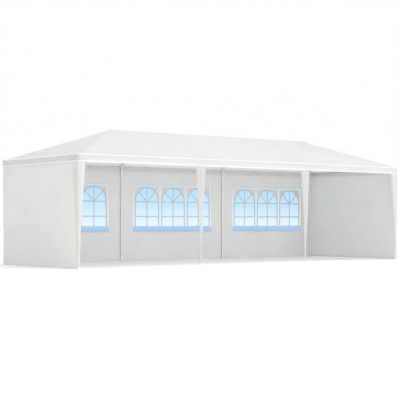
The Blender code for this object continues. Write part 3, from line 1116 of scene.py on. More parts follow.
@dataclass
class RoofCover(SubAssembly):
    """The hipped cover: slopes, eave bead and valance in one continuous sheet."""

    # Level lines of the cover: the spacing of their points, how much closer those stand near the
    # corners, and the corners' rounding, which is less where the line is short
    step: float = 0.046
    crowding: float = 0.70
    corner_round: float = 0.014
    round_share: float = 0.9
    corner_steps: int = 4
    # Slopes: the levels as shares of the rise, close to each other near the ridge and then even
    near_ridge: tuple[float, ...] = (1.0, 0.9975, 0.993, 0.986, 0.975)
    even_from: float = 0.955
    even_to: float = 0.024
    slope_step: float = 0.045
    below_solid: float = 0.002
    ridge_round: float = 0.006
    # Slack between the rafters. The ends sag less where they are narrower than full_sag_from
    sag_side: float = 0.034
    sag_end: float = 0.030
    full_sag_from: float = 0.5
    sag_power: float = 1.5
    crumpling: tuple[Looseness, ...] = (Looseness(0.008, 0.70, 1.0), Looseness(0.002, 0.24, 2.0))
    creases: tuple[Crease, ...] = RIDGE_CREASES
    # The cover lies tight on the ridge tube, so creases fade out towards it between these
    crease_fade: tuple[float, float] = (0.015, 0.070)
    # Eave bead: places out and up where the slope runs into it, then an arc of these degrees
    bead_lead: tuple[tuple[float, float], ...] = ((-0.0330, 0.0070), (-0.0285, 0.0052))
    bead_radius: float = 0.0145
    bead_out: float = -0.0085
    bead_up: float = 0.0020
    bead_from: float = 155.0
    bead_turn: float = -210.0
    bead_steps: int = 7
    bead_spacing: float = 0.008
    # Valance, as drops below the eave. Its body is lined, which lets less light through
    valance_in: float = 0.0048
    valance_start: float = 0.0165
    valance_first: float = 0.026
    valance_step: float = 0.018
    lining: float = 0.3
    hem_height: float = 0.032
    hem_proud: float = 0.0026
    hem_seam: float = 0.012
    hem_edge: float = 0.004
    hem_uneven: Looseness = Looseness(0.0025, 0.8, 3.0)
    # Waves of the valance: a share of the height, how many go round the tent, and a phase. They
    # grow with this power of the drop, and are calm near the corners between these distances
    wave: float = 0.0042
    waves: tuple[tuple[float, float, float], ...] = (
        (0.50, 37.0, 0.6), (0.32, 61.0, 2.1), (0.18, 103.0, 4.0))
    wave_power: float = 1.3
    calm: tuple[float, float] = (0.02, 0.22)
    # Pleats at the corners, where they set in along the eave and down the drop
    pleat: float = 0.0085
    pleat_pitch: float = 0.080
    pleat_reach: float = 0.15
    pleat_start: tuple[float, float] = (0.01, 0.04)
    pleat_fall: tuple[float, float] = (0.15, 0.5)
    fold_start: float = 0.02
    weld: float = 0.05 * MM
    # Welded strips where two widths of the cover overlap, finely divided at the ridge
    seam_half: float = 0.013
    seam_rows: tuple[float, ...] = (-1.0, -0.4, 0.4, 1.0)
    seam_ridge: tuple[float, ...] = (-0.02, -0.01, 0.0, 0.01, 0.02)
    seam_doubled: float = 0.4
    seam_thickness: float = 0.8 * SHEET_THICKNESS

    def ring(self, half_x: float, half_y: float) -> list[RingPoint]:
        """Lay out one level line of the cover, seen from above.

        Args:
            half_x: Half of its length.
            half_y: Half of its width.

        Returns:
            Its points, closed by the first again.
        """
        plan = self.plan
        rounding = min(self.corner_round, half_y * self.round_share)
        corners = [Vector((-half_x, -half_y)), Vector((half_x, -half_y)),
                   Vector((half_x, half_y)), Vector((-half_x, half_y))]
        headings = (Vector((1.0, 0.0)), Vector((0.0, 1.0)), Vector((-1.0, 0.0)),
                    Vector((0.0, -1.0)))
        halves = (plan.half_length, plan.half_width) * 2
        points: list[RingPoint] = []
        run = 0.0
        for side, (start, heading, half) in enumerate(zip(corners, headings, halves)):
            follow = (side + 1) % len(corners)
            end = corners[follow]
            whole = (end - start).length
            panel, next_panel = side * PANEL_APART, follow * PANEL_APART
            count = round(2.0 * half / self.step)
            for step in range(count + 1):
                share = step / count
                share -= self.crowding * math.sin(math.tau * share) / math.tau
                place = start + heading * (rounding + (whole - 2.0 * rounding) * share)
                flat = panel + place.dot(heading)
                points.append(RingPoint(place, run + 2.0 * half * share, flat, flat))
            run += 2.0 * half
            left = Vector((-heading.y, heading.x))
            centre = end + (left - heading) * rounding
            for step in range(1, self.corner_steps):
                angle = 0.5 * math.pi * step / self.corner_steps
                place = centre + (heading * math.sin(angle) - left * math.cos(angle)) * rounding
                before = panel + place.dot(heading)
                after = next_panel + place.dot(headings[follow])
                points.append(RingPoint(place, run,
                                        before if 2 * step <= self.corner_steps else after,
                                        before if 2 * step < self.corner_steps else after))
        first = points[0]
        points.append(RingPoint(first.spot.copy(), run, first.arriving, first.leaving))
        return points

    def slope_height(self, x: float, y: float) -> float:
        """Give the height of the drawn cover over a point of the plan.

        Args:
            x: Place along the tent.
            y: Place across the tent.

        Returns:
            The height of the cover's middle, sag and crumpling included.
        """
        plan = self.plan
        side = plan.side_slope * (plan.half_width - math.hypot(y, self.ridge_round))
        end = plan.end_slope * (plan.half_length - abs(x))
        rise = min(side, end)
        up = min(max(rise / (plan.ridge - plan.eave), 0.0), 1.0)
        if side <= end:
            hip = plan.half_length - RIDGE_INSET * up
            marks = [-hip, *plan.leg_x[1:-1], hip]
            bay = next((pair for pair in zip(marks, marks[1:]) if x <= pair[1]),
                       (marks[-2], marks[-1]))
            share = (x - bay[0]) / max(bay[1] - bay[0], TINY)
            depth = self.sag_side
            tilt = math.hypot(1.0, plan.side_slope)
        else:
            edge = plan.half_width * (1.0 - up)
            share = (y + edge) / max(2.0 * edge, TINY)
            depth = self.sag_end * min(1.0, edge / self.full_sag_from)
            tilt = math.hypot(1.0, plan.end_slope)
        hollow = math.sin(math.pi * min(max(share, 0.0), 1.0)) ** self.sag_power
        hollow *= math.sin(math.pi * up)
        loose = hollow * sum(each.at(x, y, 0.0) for each in self.crumpling)
        loose += smooth(abs(y), *self.crease_fade) * sum(
            crease.lift(x, y) for crease in self.creases)
        return plan.eave + rise - self.below_solid * tilt - depth * hollow + loose

    def slopes(self) -> list[float]:
        """List the levels of the slopes.

        Returns:
            Shares of the rise, from the ridge down.
        """
        count = round(self.plan.slope_run / self.slope_step)
        return [*self.near_ridge, *(self.even_from + (self.even_to - self.even_from) * step / count
                                    for step in range(count + 1))]

    def eave_profile(self) -> list[tuple[float, float, float]]:
        """List the stations of the eave bead, outwards and down.

        Returns:
            For each, how far out it lies, its height over the eave, and its doubling.
        """
        stations = [(out, up, 0.0) for out, up in self.bead_lead]
        for step in range(self.bead_steps + 1):
            angle = math.radians(self.bead_from + self.bead_turn * step / self.bead_steps)
            stations.append((self.bead_out + self.bead_radius * math.cos(angle),
                             self.bead_up + self.bead_radius * math.sin(angle), 1.0))
        stations.append((-self.valance_in, -self.valance_start, self.lining))
        return stations

    def valance_drops(self) -> list[tuple[float, float, float]]:
        """List the levels of the valance below the bead.

        Returns:
            For each, how far it hangs below the eave, how far a hem stands out, and doubling.
        """
        drop = self.plan.eave - self.plan.valance_bottom
        hem = drop - self.hem_height
        first = self.valance_first
        levels = [(first + place, 0.0, self.lining)
                  for place in stops(hem - MM - first, self.valance_step)]
        levels += [(level, self.hem_proud, 1.0)
                   for level in (hem, hem + self.hem_seam, drop - self.hem_edge)]
        levels.append((drop, self.hem_proud / 2.0, 1.0))
        return levels

    def sway(self, run: float, low: float) -> float:
        """Give how far the valance stands out at a place on its length.

        Args:
            run: Place along the eave, all round from the front left corner.
            low: 0 at the bead and 1 at the hem.

        Returns:
            The distance, out or in.
        """
        plan = self.plan
        length, width = 2.0 * plan.half_length, 2.0 * plan.half_width
        whole = 2.0 * (length + width)
        corners = (0.0, length, length + width, 2.0 * length + width, whole)
        near = min(abs(run - corner) for corner in corners)
        pleats = self.pleat * smooth(near, *self.pleat_start) * (
            math.exp(-(near / self.pleat_reach) ** 2)
            * math.sin(math.tau * near / self.pleat_pitch))
        turn = math.tau * run / whole
        wave = sum(share * math.sin(count * turn + phase) for share, count, phase in self.waves)
        drop = low * (plan.eave - plan.valance_bottom)
        folds = sum(crease.lift(run, drop) for crease in VALANCE_CREASES)
        return (self.wave * wave * smooth(near, *self.calm) * low ** self.wave_power
                + pleats * smooth(low, *self.pleat_fall)
                + folds * smooth(near, 0.0, self.fold_start))

    def build(self) -> None:
        """Make the cover from the ridge to the valance's hem, then its lap seams."""
        plan = self.plan
        sheet = SheetMesh("roof_cover_sheet")
        grid = []
        flat = 0.0
        for up in self.slopes():
            flat = plan.slope_run * (1.0 - up)
            row = []
            for point in self.ring(plan.half_length - RIDGE_INSET * up,
                                   plan.half_width * (1.0 - up)):
                place = Vector((*point.spot, self.slope_height(*point.spot)))
                row.append(sheet.point(place, point.arriving, flat, leaving=point.leaving))
            grid.append(row)
        for out, up, doubled in self.eave_profile():
            flat += self.bead_spacing
            grid.append([sheet.point(Vector((*point.spot, plan.eave + up)), point.arriving,
                                     flat, doubled, point.leaving)
                         for point in self.ring(plan.half_length + out, plan.half_width + out)])
        for drop, proud, doubled in self.valance_drops():
            low = drop / (plan.eave - plan.valance_bottom)
            row = []
            for point in self.ring(plan.half_length, plan.half_width):
                out = proud - self.valance_in + self.sway(point.run, low)
                spot = point.spot + self.outwards(point.spot) * out
                uneven = low * self.hem_uneven.at(point.run, 0.0, 0.0)
                row.append(sheet.point(Vector((*spot, plan.eave - drop + uneven + MM)),
                                       point.arriving, flat + drop, doubled, point.leaving))
            grid.append(row)
        sheet.faces(grid)
        cover = sheet.finish(SHEET_THICKNESS, weld=self.weld)
        self.keep(cover, Slot.ROOF, "roof_cover")
        seams = [self.lap_seam(f"roof_lap_seam_{name}", x)
                 for name, x in zip(("left", "right"), plan.leg_x[1:-1])]
        turned_down = VALANCE_DROP + self.hem_height
        area = 2.0 * plan.slope_run * (plan.half_length + plan.ridge_half)
        area += 2.0 * plan.half_width * math.hypot(RIDGE_INSET, plan.ridge - plan.eave)
        area += 4.0 * (plan.half_length + plan.half_width) * turned_down

    def outwards(self, spot: Vector) -> Vector:
        """Give the level direction out of the cover at a point of the eave line.

        Args:
            spot: A point of the eave line, seen from above.

        Returns:
            A direction of length 1.
        """
        inner = (self.plan.half_length - self.corner_round,
                 self.plan.half_width - self.corner_round)
        return Vector([math.copysign(max(abs(place) - edge, 0.0), place)
                       for place, edge in zip(spot, inner)]).normalized()

    def lap_seam(self, name: str, x: float) -> bpy.types.Object:
        """Make the welded strip where two widths of the cover overlap, from eave to eave.

        Args:
            name: The piece's name.
            x: Where it crosses the tent.

        Returns:
            The strip.
        """
        edge = self.plan.half_width * (1.0 - self.even_to)
        strip = SheetMesh(name)
        grid = []
        for along in stops(2.0 * edge, self.slope_step, [edge + off for off in self.seam_ridge]):
            row = []
            for share in self.seam_rows:
                across = share * self.seam_half
                height = self.slope_height(x + across, along - edge) + SHEET_THICKNESS
                row.append(strip.point(Vector((x + across, along - edge, height)), across,
                                       along, self.seam_doubled))
            grid.append(row)
        strip.faces(grid)
        return self.keep(strip.finish(self.seam_thickness), Slot.ROOF)

    def dress(self) -> None:
        """Cover it all with the coated sheet."""
        self.cover(self.pieces, ROOF_FINISH)


@dataclass
class WallPanel(SubAssembly):
    """One hanging wall: a hemmed sheet with the slack of its own weight."""

    seed: float = 1.0
    step: float = 0.055
    inset: float = 0.0020
    hem: float = 0.035
    top_hem: float = 0.045
    # How far a hem stands out, in thicknesses of the sheet
    hem_stand: float = 0.6
    # Slack in the sheet, none along its sides and growing down from the tube between these drops.
    # Each wave has a share of it, how it is drawn out upwards, its pitch and a shift of the seed
    slack: float = 0.012
    waves: tuple[tuple[float, float, float, float], ...] = (
        (0.55, 0.22, 0.33, 0.0), (0.30, 0.30, 0.14, 3.0), (0.45, 1.0, 0.9, 5.0))
    wave_width: float = 3.0
    side_power: float = 0.6
    hang: tuple[float, float] = (0.02, 0.7)

    def flutter(self, across: float, up: float) -> float:
        """Give how far the hanging sheet stands out of its plane.

        Args:
            across: Share of the width, from 0 to 1.
            up: Height over the sheet's bottom edge.

        Returns:
            The distance, out or in.
        """
        held = math.sin(math.pi * min(max(across, 0.0), 1.0)) ** self.side_power
        hung = smooth(self.plan.tube_axis - up, *self.hang)
        waves = sum(share * crumple((across * self.wave_width, up * rise, 0.0), pitch,
                                    self.seed + shift)
                    for share, rise, pitch, shift in self.waves)
        return self.slack * held * hung * waves

    def is_hem(self, across: float, up: float, width: float, height: float) -> bool:
        """Tell whether a point lies in the hem of the sheet.

        Args:
            across: Distance from the first upright edge.
            up: Distance from the bottom edge.
            width: The sheet's width.
            height: The sheet's height.

        Returns:
            True within a hem.
        """
        return min(across, width - across, up) <= self.hem or height - up <= self.top_hem

    def hem_breaks(self, length: float, last: float) -> list[float]:
        """List where a hem begins and ends along one edge.

        Args:
            length: The edge's length.
            last: How deep the hem is at its end.

        Returns:
            Pairs of stops 1 mm apart, between which the doubled cloth steps up.
        """
        return [self.hem, self.hem + MM, length - last - MM, length - last]

    def dress(self) -> None:
        """Cover the panel with the coated sheet."""
        self.cover(self.pieces, WALL_FINISH)


@dataclass
class EndWall(WallPanel):
    """The plain wall at one end of the tent."""

    end: End = End.LEFT
    # The bottom edge is uneven, which is lost at this height
    uneven: Looseness = Looseness(0.004, 0.7)
    uneven_height: float = 0.3
    # An upright fold beside the back edge, which fades out towards the top
    fold_at: float = 0.140
    fold_half: float = 0.014
    fold_height: float = 0.009
    fold_fade: tuple[float, float] = (0.12, 0.25)
    # Slanting folds at the top corner at the back: how far they reach from the back edge and
    # from the top, the lengths over which they fade out, and how they run
    rumple: float = 0.013
    rumple_reach: float = 0.55
    rumple_reach_fade: float = 0.45
    rumple_drop: float = 0.75
    rumple_drop_fade: float = 0.5
    rumple_edge: float = 0.10
    rumple_top: tuple[float, float] = (0.10, 0.20)
    rumple_pitch: float = 0.17
    rumple_down: float = 0.9
    rumple_across: float = 1.6
    rumple_mean: float = 0.3

    def build(self) -> None:
        """Make the sheet, its outer face 2 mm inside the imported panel's."""
        name = f"{self.end.name.lower()}_end_wall"
        low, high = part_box(name)
        width, height = high.y - low.y, high.z - low.z
        outer = max(abs(low.x), abs(high.x)) - self.inset
        sheet = SheetMesh(f"{name}_sheet")
        columns = stops(width, self.step, self.hem_breaks(width, self.hem))
        rows = stops(height, self.step, self.hem_breaks(height, self.top_hem))
        grid = []
        for up in rows:
            line = []
            for across in columns:
                double = float(self.is_hem(across, up, width, height))
                out = self.flutter(across / width, up)
                out += self.corner_rumple(width - across, height - up)
                out += self.edge_fold(width - across, height - up)
                out += self.hem_stand * SHEET_THICKNESS * double
                uneven = crumple((across, 0.0, 0.0), self.uneven.pitch, self.seed)
                uneven *= self.uneven.height * smooth(self.uneven_height - up, 0.0,
                                                      self.uneven_height)
                place = Vector((self.end.value * (outer + out), low.y + across,
                                low.z + up + uneven))
                line.append(sheet.point(place, across, up, double))
            grid.append(line)
        sheet.faces(grid)
        piece = self.keep(sheet.finish(SHEET_THICKNESS), Slot.WALL, name)

    def edge_fold(self, from_back: float, from_top: float) -> float:
        """Give the upright fold beside the back edge, where the sheet turns round the leg.

        Args:
            from_back: Distance from the back edge.
            from_top: Distance from the top edge.

        Returns:
            How far it stands out.
        """
        off = (from_back - self.fold_at) / self.fold_half
        return self.fold_height * math.exp(-off * off) * smooth(from_top, *self.fold_fade)

    def corner_rumple(self, from_back: float, from_top: float) -> float:
        """Give the slack folds that run down from the top corner at the back.

        Args:
            from_back: Distance from the back edge.
            from_top: Distance from the top edge.

        Returns:
            How far they stand out.
        """
        near = smooth(self.rumple_reach - from_back, 0.0, self.rumple_reach_fade)
        near *= smooth(from_top, *self.rumple_top)
        fade = smooth(self.rumple_drop - from_top, 0.0, self.rumple_drop_fade)
        fade *= smooth(from_back, 0.0, self.rumple_edge)
        run = from_top * self.rumple_down + from_back * self.rumple_across
        fold = math.sin(math.tau * run / self.rumple_pitch)
        return self.rumple * near * fade * (self.rumple_mean + (1.0 - self.rumple_mean) * fold)


@dataclass
class BackWall(WallPanel):
    """One back panel, with a clear sheet behind its opening and three printed windows on it."""

    bay: str = "middle"
    lap: float = 0.020
    # The panel lies still round the opening, and has its full slack from this distance on
    calm: float = 0.25
    # Real film is about 0.3 mm thick, drawn 0.6 mm
    film: float = 0.6 * MM
    film_step: float = 0.07
    film_slack: float = 0.0022
    film_pitch: float = 0.35
    film_held: float = 0.20
    print_depth: float = 0.6 * MM
    print_gap: float = 1.0 * MM
    window_width: float = 0.705
    window_pitch: float = 0.757
    window_count: int = 3
    window_low: float = 0.803
    # The print stands on the tinted sill band, with no more than a line at its foot
    foot_line: float = 0.006
    frame_width: float = 0.034
    bar_width: float = 0.027
    spring: float = 1.370
    cross_bar: float = 1.032
    fan_panes: int = 4
    arc_steps: int = 14

    @property
    def clear_box(self) -> tuple[Vector, Vector]:
        """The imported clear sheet's box, which is also the opening's."""
        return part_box(f"window_sheet_{self.bay}")

    def build(self) -> None:
        """Make the wall sheet, the clear sheet and the printed frames."""
        wall = self.build_wall()
        clear = self.build_film()
        printed = [piece for number in range(self.window_count)
                   for piece in self.build_window(number)]

    def build_wall(self) -> bpy.types.Object:
        """Make the sheet round the opening.

        Returns:
            The wall's sheet.
        """
        name = f"back_wall_{self.bay}"
        low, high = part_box(name)
        hole_low, hole_high = self.clear_box
        width, height = high.x - low.x, high.z - low.z
        left, right = hole_low.x - low.x, hole_high.x - low.x
        bottom, top = hole_low.z - low.z, hole_high.z - low.z
        lap = self.lap
        columns = stops(width, self.step, [*self.hem_breaks(width, self.hem),
                                           left - lap - MM, left - lap, left, right,
                                           right + lap, right + lap + MM])
        rows = stops(height, self.step, [*self.hem_breaks(height, self.top_hem),
                                         bottom - lap - MM, bottom - lap, bottom, top,
                                         top + lap, top + lap + MM])
        sheet = SheetMesh(f"{name}_sheet")
        outer = high.y - self.inset
        grid = []
        for up in rows:
            line = []
            for across in columns:
                in_lap = left - lap <= across <= right + lap and bottom - lap <= up <= top + lap
                double = float(self.is_hem(across, up, width, height) or in_lap)
                beside = max(left - across, across - right, bottom - up, up - top, 0.0)
                out = self.flutter(across / width, up) * smooth(beside, lap, self.calm)
                out -= self.hem_stand * SHEET_THICKNESS * double
                place = Vector((low.x + across, outer + min(out, self.inset), low.z + up))
                line.append(sheet.point(place, low.x + across, up, double))
            grid.append(line)

        def solid(row: int, column: int) -> bool:
            """Leave out the quads of the opening.

            Args:
                row: The quad's row in the grid.
                column: Its column.

            Returns:
                True where the sheet has cloth.
            """
            middle_x = (columns[column] + columns[column + 1]) / 2.0
            middle_z = (rows[row] + rows[row + 1]) / 2.0
            return not (left < middle_x < right and bottom < middle_z < top)

        sheet.faces(grid, solid)
        return self.keep(sheet.finish(SHEET_THICKNESS), Slot.WALL, name)

    def build_film(self) -> bpy.types.Object:
        """Make the clear sheet, lapped over the opening's edge from outside.

        Returns:
            The clear sheet.
        """
        low, high = self.clear_box
        lap = self.lap
        sheet = SheetMesh(f"clear_window_{self.bay}")
        width, height = high.x - low.x + 2.0 * lap, high.z - low.z + 2.0 * lap
        edges = [self.window_centre(number) + side * self.window_width / 2.0 - low.x + lap
                 for number in range(self.window_count) for side in (-1.0, 1.0)]
        sill = self.window_low - low.z + lap
        head = self.spring + self.window_width / 2.0 - low.z + lap
        columns = stops(width, self.film_step,
                        [edge + shift for edge in edges for shift in (0.0, MM)])
        grid = []
        for up in stops(height, self.film_step, (sill, sill + MM, head, head + MM)):
            line = []
            for across in columns:
                edge = min(across, width - across, up, height - up)
                slack = self.film_slack * smooth(edge, lap, self.film_held) * crumple(
                    (across, 0.0, up), self.film_pitch, self.seed)
                place = Vector((low.x - lap + across, low.y + self.film + slack,
                                low.z - lap + up))
                in_pane = up <= head and any(
                    first < across <= last for first, last in zip(edges[::2], edges[1::2]))
                line.append(sheet.point(place, across, up, float(in_pane or up <= sill)))
            grid.append(line)
        sheet.faces(grid)
        return self.keep(sheet.finish(self.film), Slot.CLEAR, f"window_sheet_{self.bay}")

    def window_centre(self, number: int) -> float:
        """Give the middle of one window.

        Args:
            number: Which window of the panel, from the left.

        Returns:
            Its place along the tent.
        """
        low, high = self.clear_box
        middle = (self.window_count - 1) / 2.0
        return (low.x + high.x) / 2.0 + (number - middle) * self.window_pitch

    def arch(self, centre: float, radius: float, first: float, last: float) -> Outline:
        """Draw part of a circle round the middle of the springing bar.

        Args:
            centre: The window's middle.
            radius: The circle's radius.
            first: The angle where it starts, from the right.
            last: The angle where it ends.

        Returns:
            Points along it.
        """
        angles = (first + (last - first) * step / self.arc_steps
                  for step in range(self.arc_steps + 1))
        return [(centre + radius * math.cos(angle), self.spring + radius * math.sin(angle))
                for angle in angles]

    def panes(self, centre: float) -> list[Outline]:
        """Outline the see-through panes of one window.

        Args:
            centre: The window's middle.

        Returns:
            The outlines: four in the fan under the arch, then two by two below it.
        """
        half_bar = self.bar_width / 2.0
        radius = self.window_width / 2.0 - self.frame_width
        found = []
        spokes = [math.pi * number / self.fan_panes for number in range(self.fan_panes + 1)]
        trim = math.asin(half_bar / radius)
        for first, last in zip(spokes, spokes[1:]):
            middle = (first + last) / 2.0
            hub = half_bar / math.sin((last - first) / 2.0)
            point = (centre + hub * math.cos(middle), self.spring + hub * math.sin(middle))
            found.append([point, *self.arch(centre, radius, first + trim, last - trim)])
        levels = ((self.window_low + self.foot_line, self.cross_bar - half_bar),
                  (self.cross_bar + half_bar, self.spring - half_bar))
        for low, high in levels:
            for side in (-1.0, 1.0):
                near, far = centre + side * half_bar, centre + side * radius
                found.append([(near, low), (far, low), (far, high), (near, high)])
        return found

    def build_window(self, number: int) -> list[bpy.types.Object]:
        """Print one window on the inner face of the clear sheet.

        Args:
            number: Which window of the panel, from the left.

        Returns:
            Its frame and the filled corners over its arch, as thin solids.
        """
        centre = self.window_centre(number)
        half = self.window_width / 2.0
        name = f"{self.bay}_{number + 1}"
        right_arc = self.arch(centre, half, 0.0, math.pi / 2.0)
        left_arc = self.arch(centre, half, math.pi / 2.0, math.pi)
        frame_line = [(centre - half, self.window_low), (centre + half, self.window_low),
                      *right_arc, *left_arc[1:]]
        top = self.spring + half
        corners = [[(centre + half, top), *reversed(right_arc)],
                   [(centre - half, top), *reversed(left_arc)]]
        return [self.print_shape(f"window_frame_{name}", [frame_line, *self.panes(centre)]),
                self.print_shape(f"window_corner_{name}", corners)]

    def print_shape(self, name: str, outlines: Sequence[Outline]) -> bpy.types.Object:
        """Make a thin solid from outlines, just inside the clear sheet.

        Args:
            name: The piece's name.
            outlines: Closed outlines as places along the tent and heights.

        Returns:
            The solid.
        """
        outline = bpy.data.curves.new(name, "CURVE")
        outline.dimensions = "2D"
        outline.fill_mode = "BOTH"
        outline.extrude = self.print_depth / 2.0
        for loop in outlines:
            spline = outline.splines.new("POLY")
            spline.points.add(len(loop) - 1)
            for point, (x, z) in zip(spline.points, loop):
                point.co = (x, z, 0.0, 1.0)
            spline.use_cyclic_u = True
        drawn = add_object(f"{name}_outline", outline)
        bpy.context.view_layer.update()
        mesh = bpy.data.meshes.new_from_object(
            drawn.evaluated_get(bpy.context.evaluated_depsgraph_get()))
        bpy.data.objects.remove(drawn)
        bpy.data.curves.remove(outline)
        mesh.name = name
        mesh.transform(Matrix.Rotation(math.pi / 2.0, 4, "X"))
        mesh.transform(Matrix.Translation((0.0, self.clear_box[0].y - self.print_gap, 0.0)))
        return self.keep(add_object(name, mesh), Slot.WALL)

    def dress(self) -> None:
        """Coated sheet round a clear film with printed frames."""
        low, high = self.clear_box
        # The film's tints by height are painted sky light
        film = ClearVinylFilm(
            "clear_pvc_film", head="#B8E2FF", middle="#CDECFF", foot="#ECFAFF", sill="#9EC3E8",
            sill_edge="#A2B9D2", strip_head="#D3E4F6", strip_foot="#FAFCFF",
            sill_height=low.z, foot_height=self.window_low + self.foot_line,
            head_height=high.z)
        for start, finish in (("back_wall", WALL_FINISH), ("clear_window", film),
                              ("window_frame", FRAME_PRINT), ("window_corner", CORNER_PRINT)):
            self.cover([piece for piece in self.pieces if piece.name.startswith(start)], finish)


@dataclass
class WallStraps(SubAssembly):
    """Webbing loops that hang the walls on the eave tubes."""

    width: float = 0.025
    thickness: float = 0.9 * MM
    # How far the loop's middle stands off the tube, in thicknesses
    stand_off: float = 0.75
    wrap_degrees: float = 300.0
    tail: float = 0.070
    pitch: float = 0.72
    from_leg: float = 0.25
    round_steps: int = 20
    point_spacing: float = 0.006

    def runs(self) -> list[tuple[str, Vector, Vector, Vector]]:
        """List the tubes that carry a wall.

        Returns:
            For each, a name, its two ends and the level direction out of the tent.
        """
        plan = self.plan
        height = plan.tube_axis
        found = [(f"back_{bay}", Vector((first, plan.leg_y, height)),
                  Vector((last, plan.leg_y, height)), Vector((0.0, 1.0, 0.0)))
                 for bay, first, last in zip(BAYS, plan.leg_x, plan.leg_x[1:])]
        for end in End:
            x = end.value * plan.leg_x[-1]
            found.append((f"{end.name.lower()}_end", Vector((x, -plan.leg_y, height)),
                          Vector((x, plan.leg_y, height)), Vector((end.value, 0.0, 0.0))))
        return found

    def outline(self) -> Outline:
        """Draw one loop from the side: round the tube, with one end down the wall.

        Returns:
            Points as distance outwards from the tube's axis and height over it.
        """
        radius = self.plan.tube_radius + self.thickness * self.stand_off
        angles = (math.radians(self.wrap_degrees) * step / self.round_steps
                  for step in range(self.round_steps + 1))
        return [(radius, -self.tail), *((radius * math.cos(angle), radius * math.sin(angle))
                                        for angle in angles)]

    def build(self) -> None:
        """Make the loops of each tube as one piece."""
        for name, start, end, out in self.runs():
            along = (end - start).normalized()
            length = (end - start).length - 2.0 * self.from_leg
            count = max(2, round(length / self.pitch) + 1)
            strip = SheetMesh(f"wall_straps_{name}")
            for number in range(count):
                centre = start + along * (self.from_leg + length * number / (count - 1))
                grid = []
                for travel, (away, height) in enumerate(self.outline()):
                    row = []
                    for side in (-0.5, 0.0, 0.5):
                        place = centre + along * (side * self.width) + out * away
                        place.z += height
                        row.append(strip.point(place, side * self.width,
                                               travel * self.point_spacing))
                    grid.append(row)
                strip.faces(grid)
            self.keep(strip.finish(self.thickness), Slot.WALL)

    def dress(self) -> None:
        """Cover the loops with webbing."""
        self.cover(self.pieces, STRAP_FINISH)


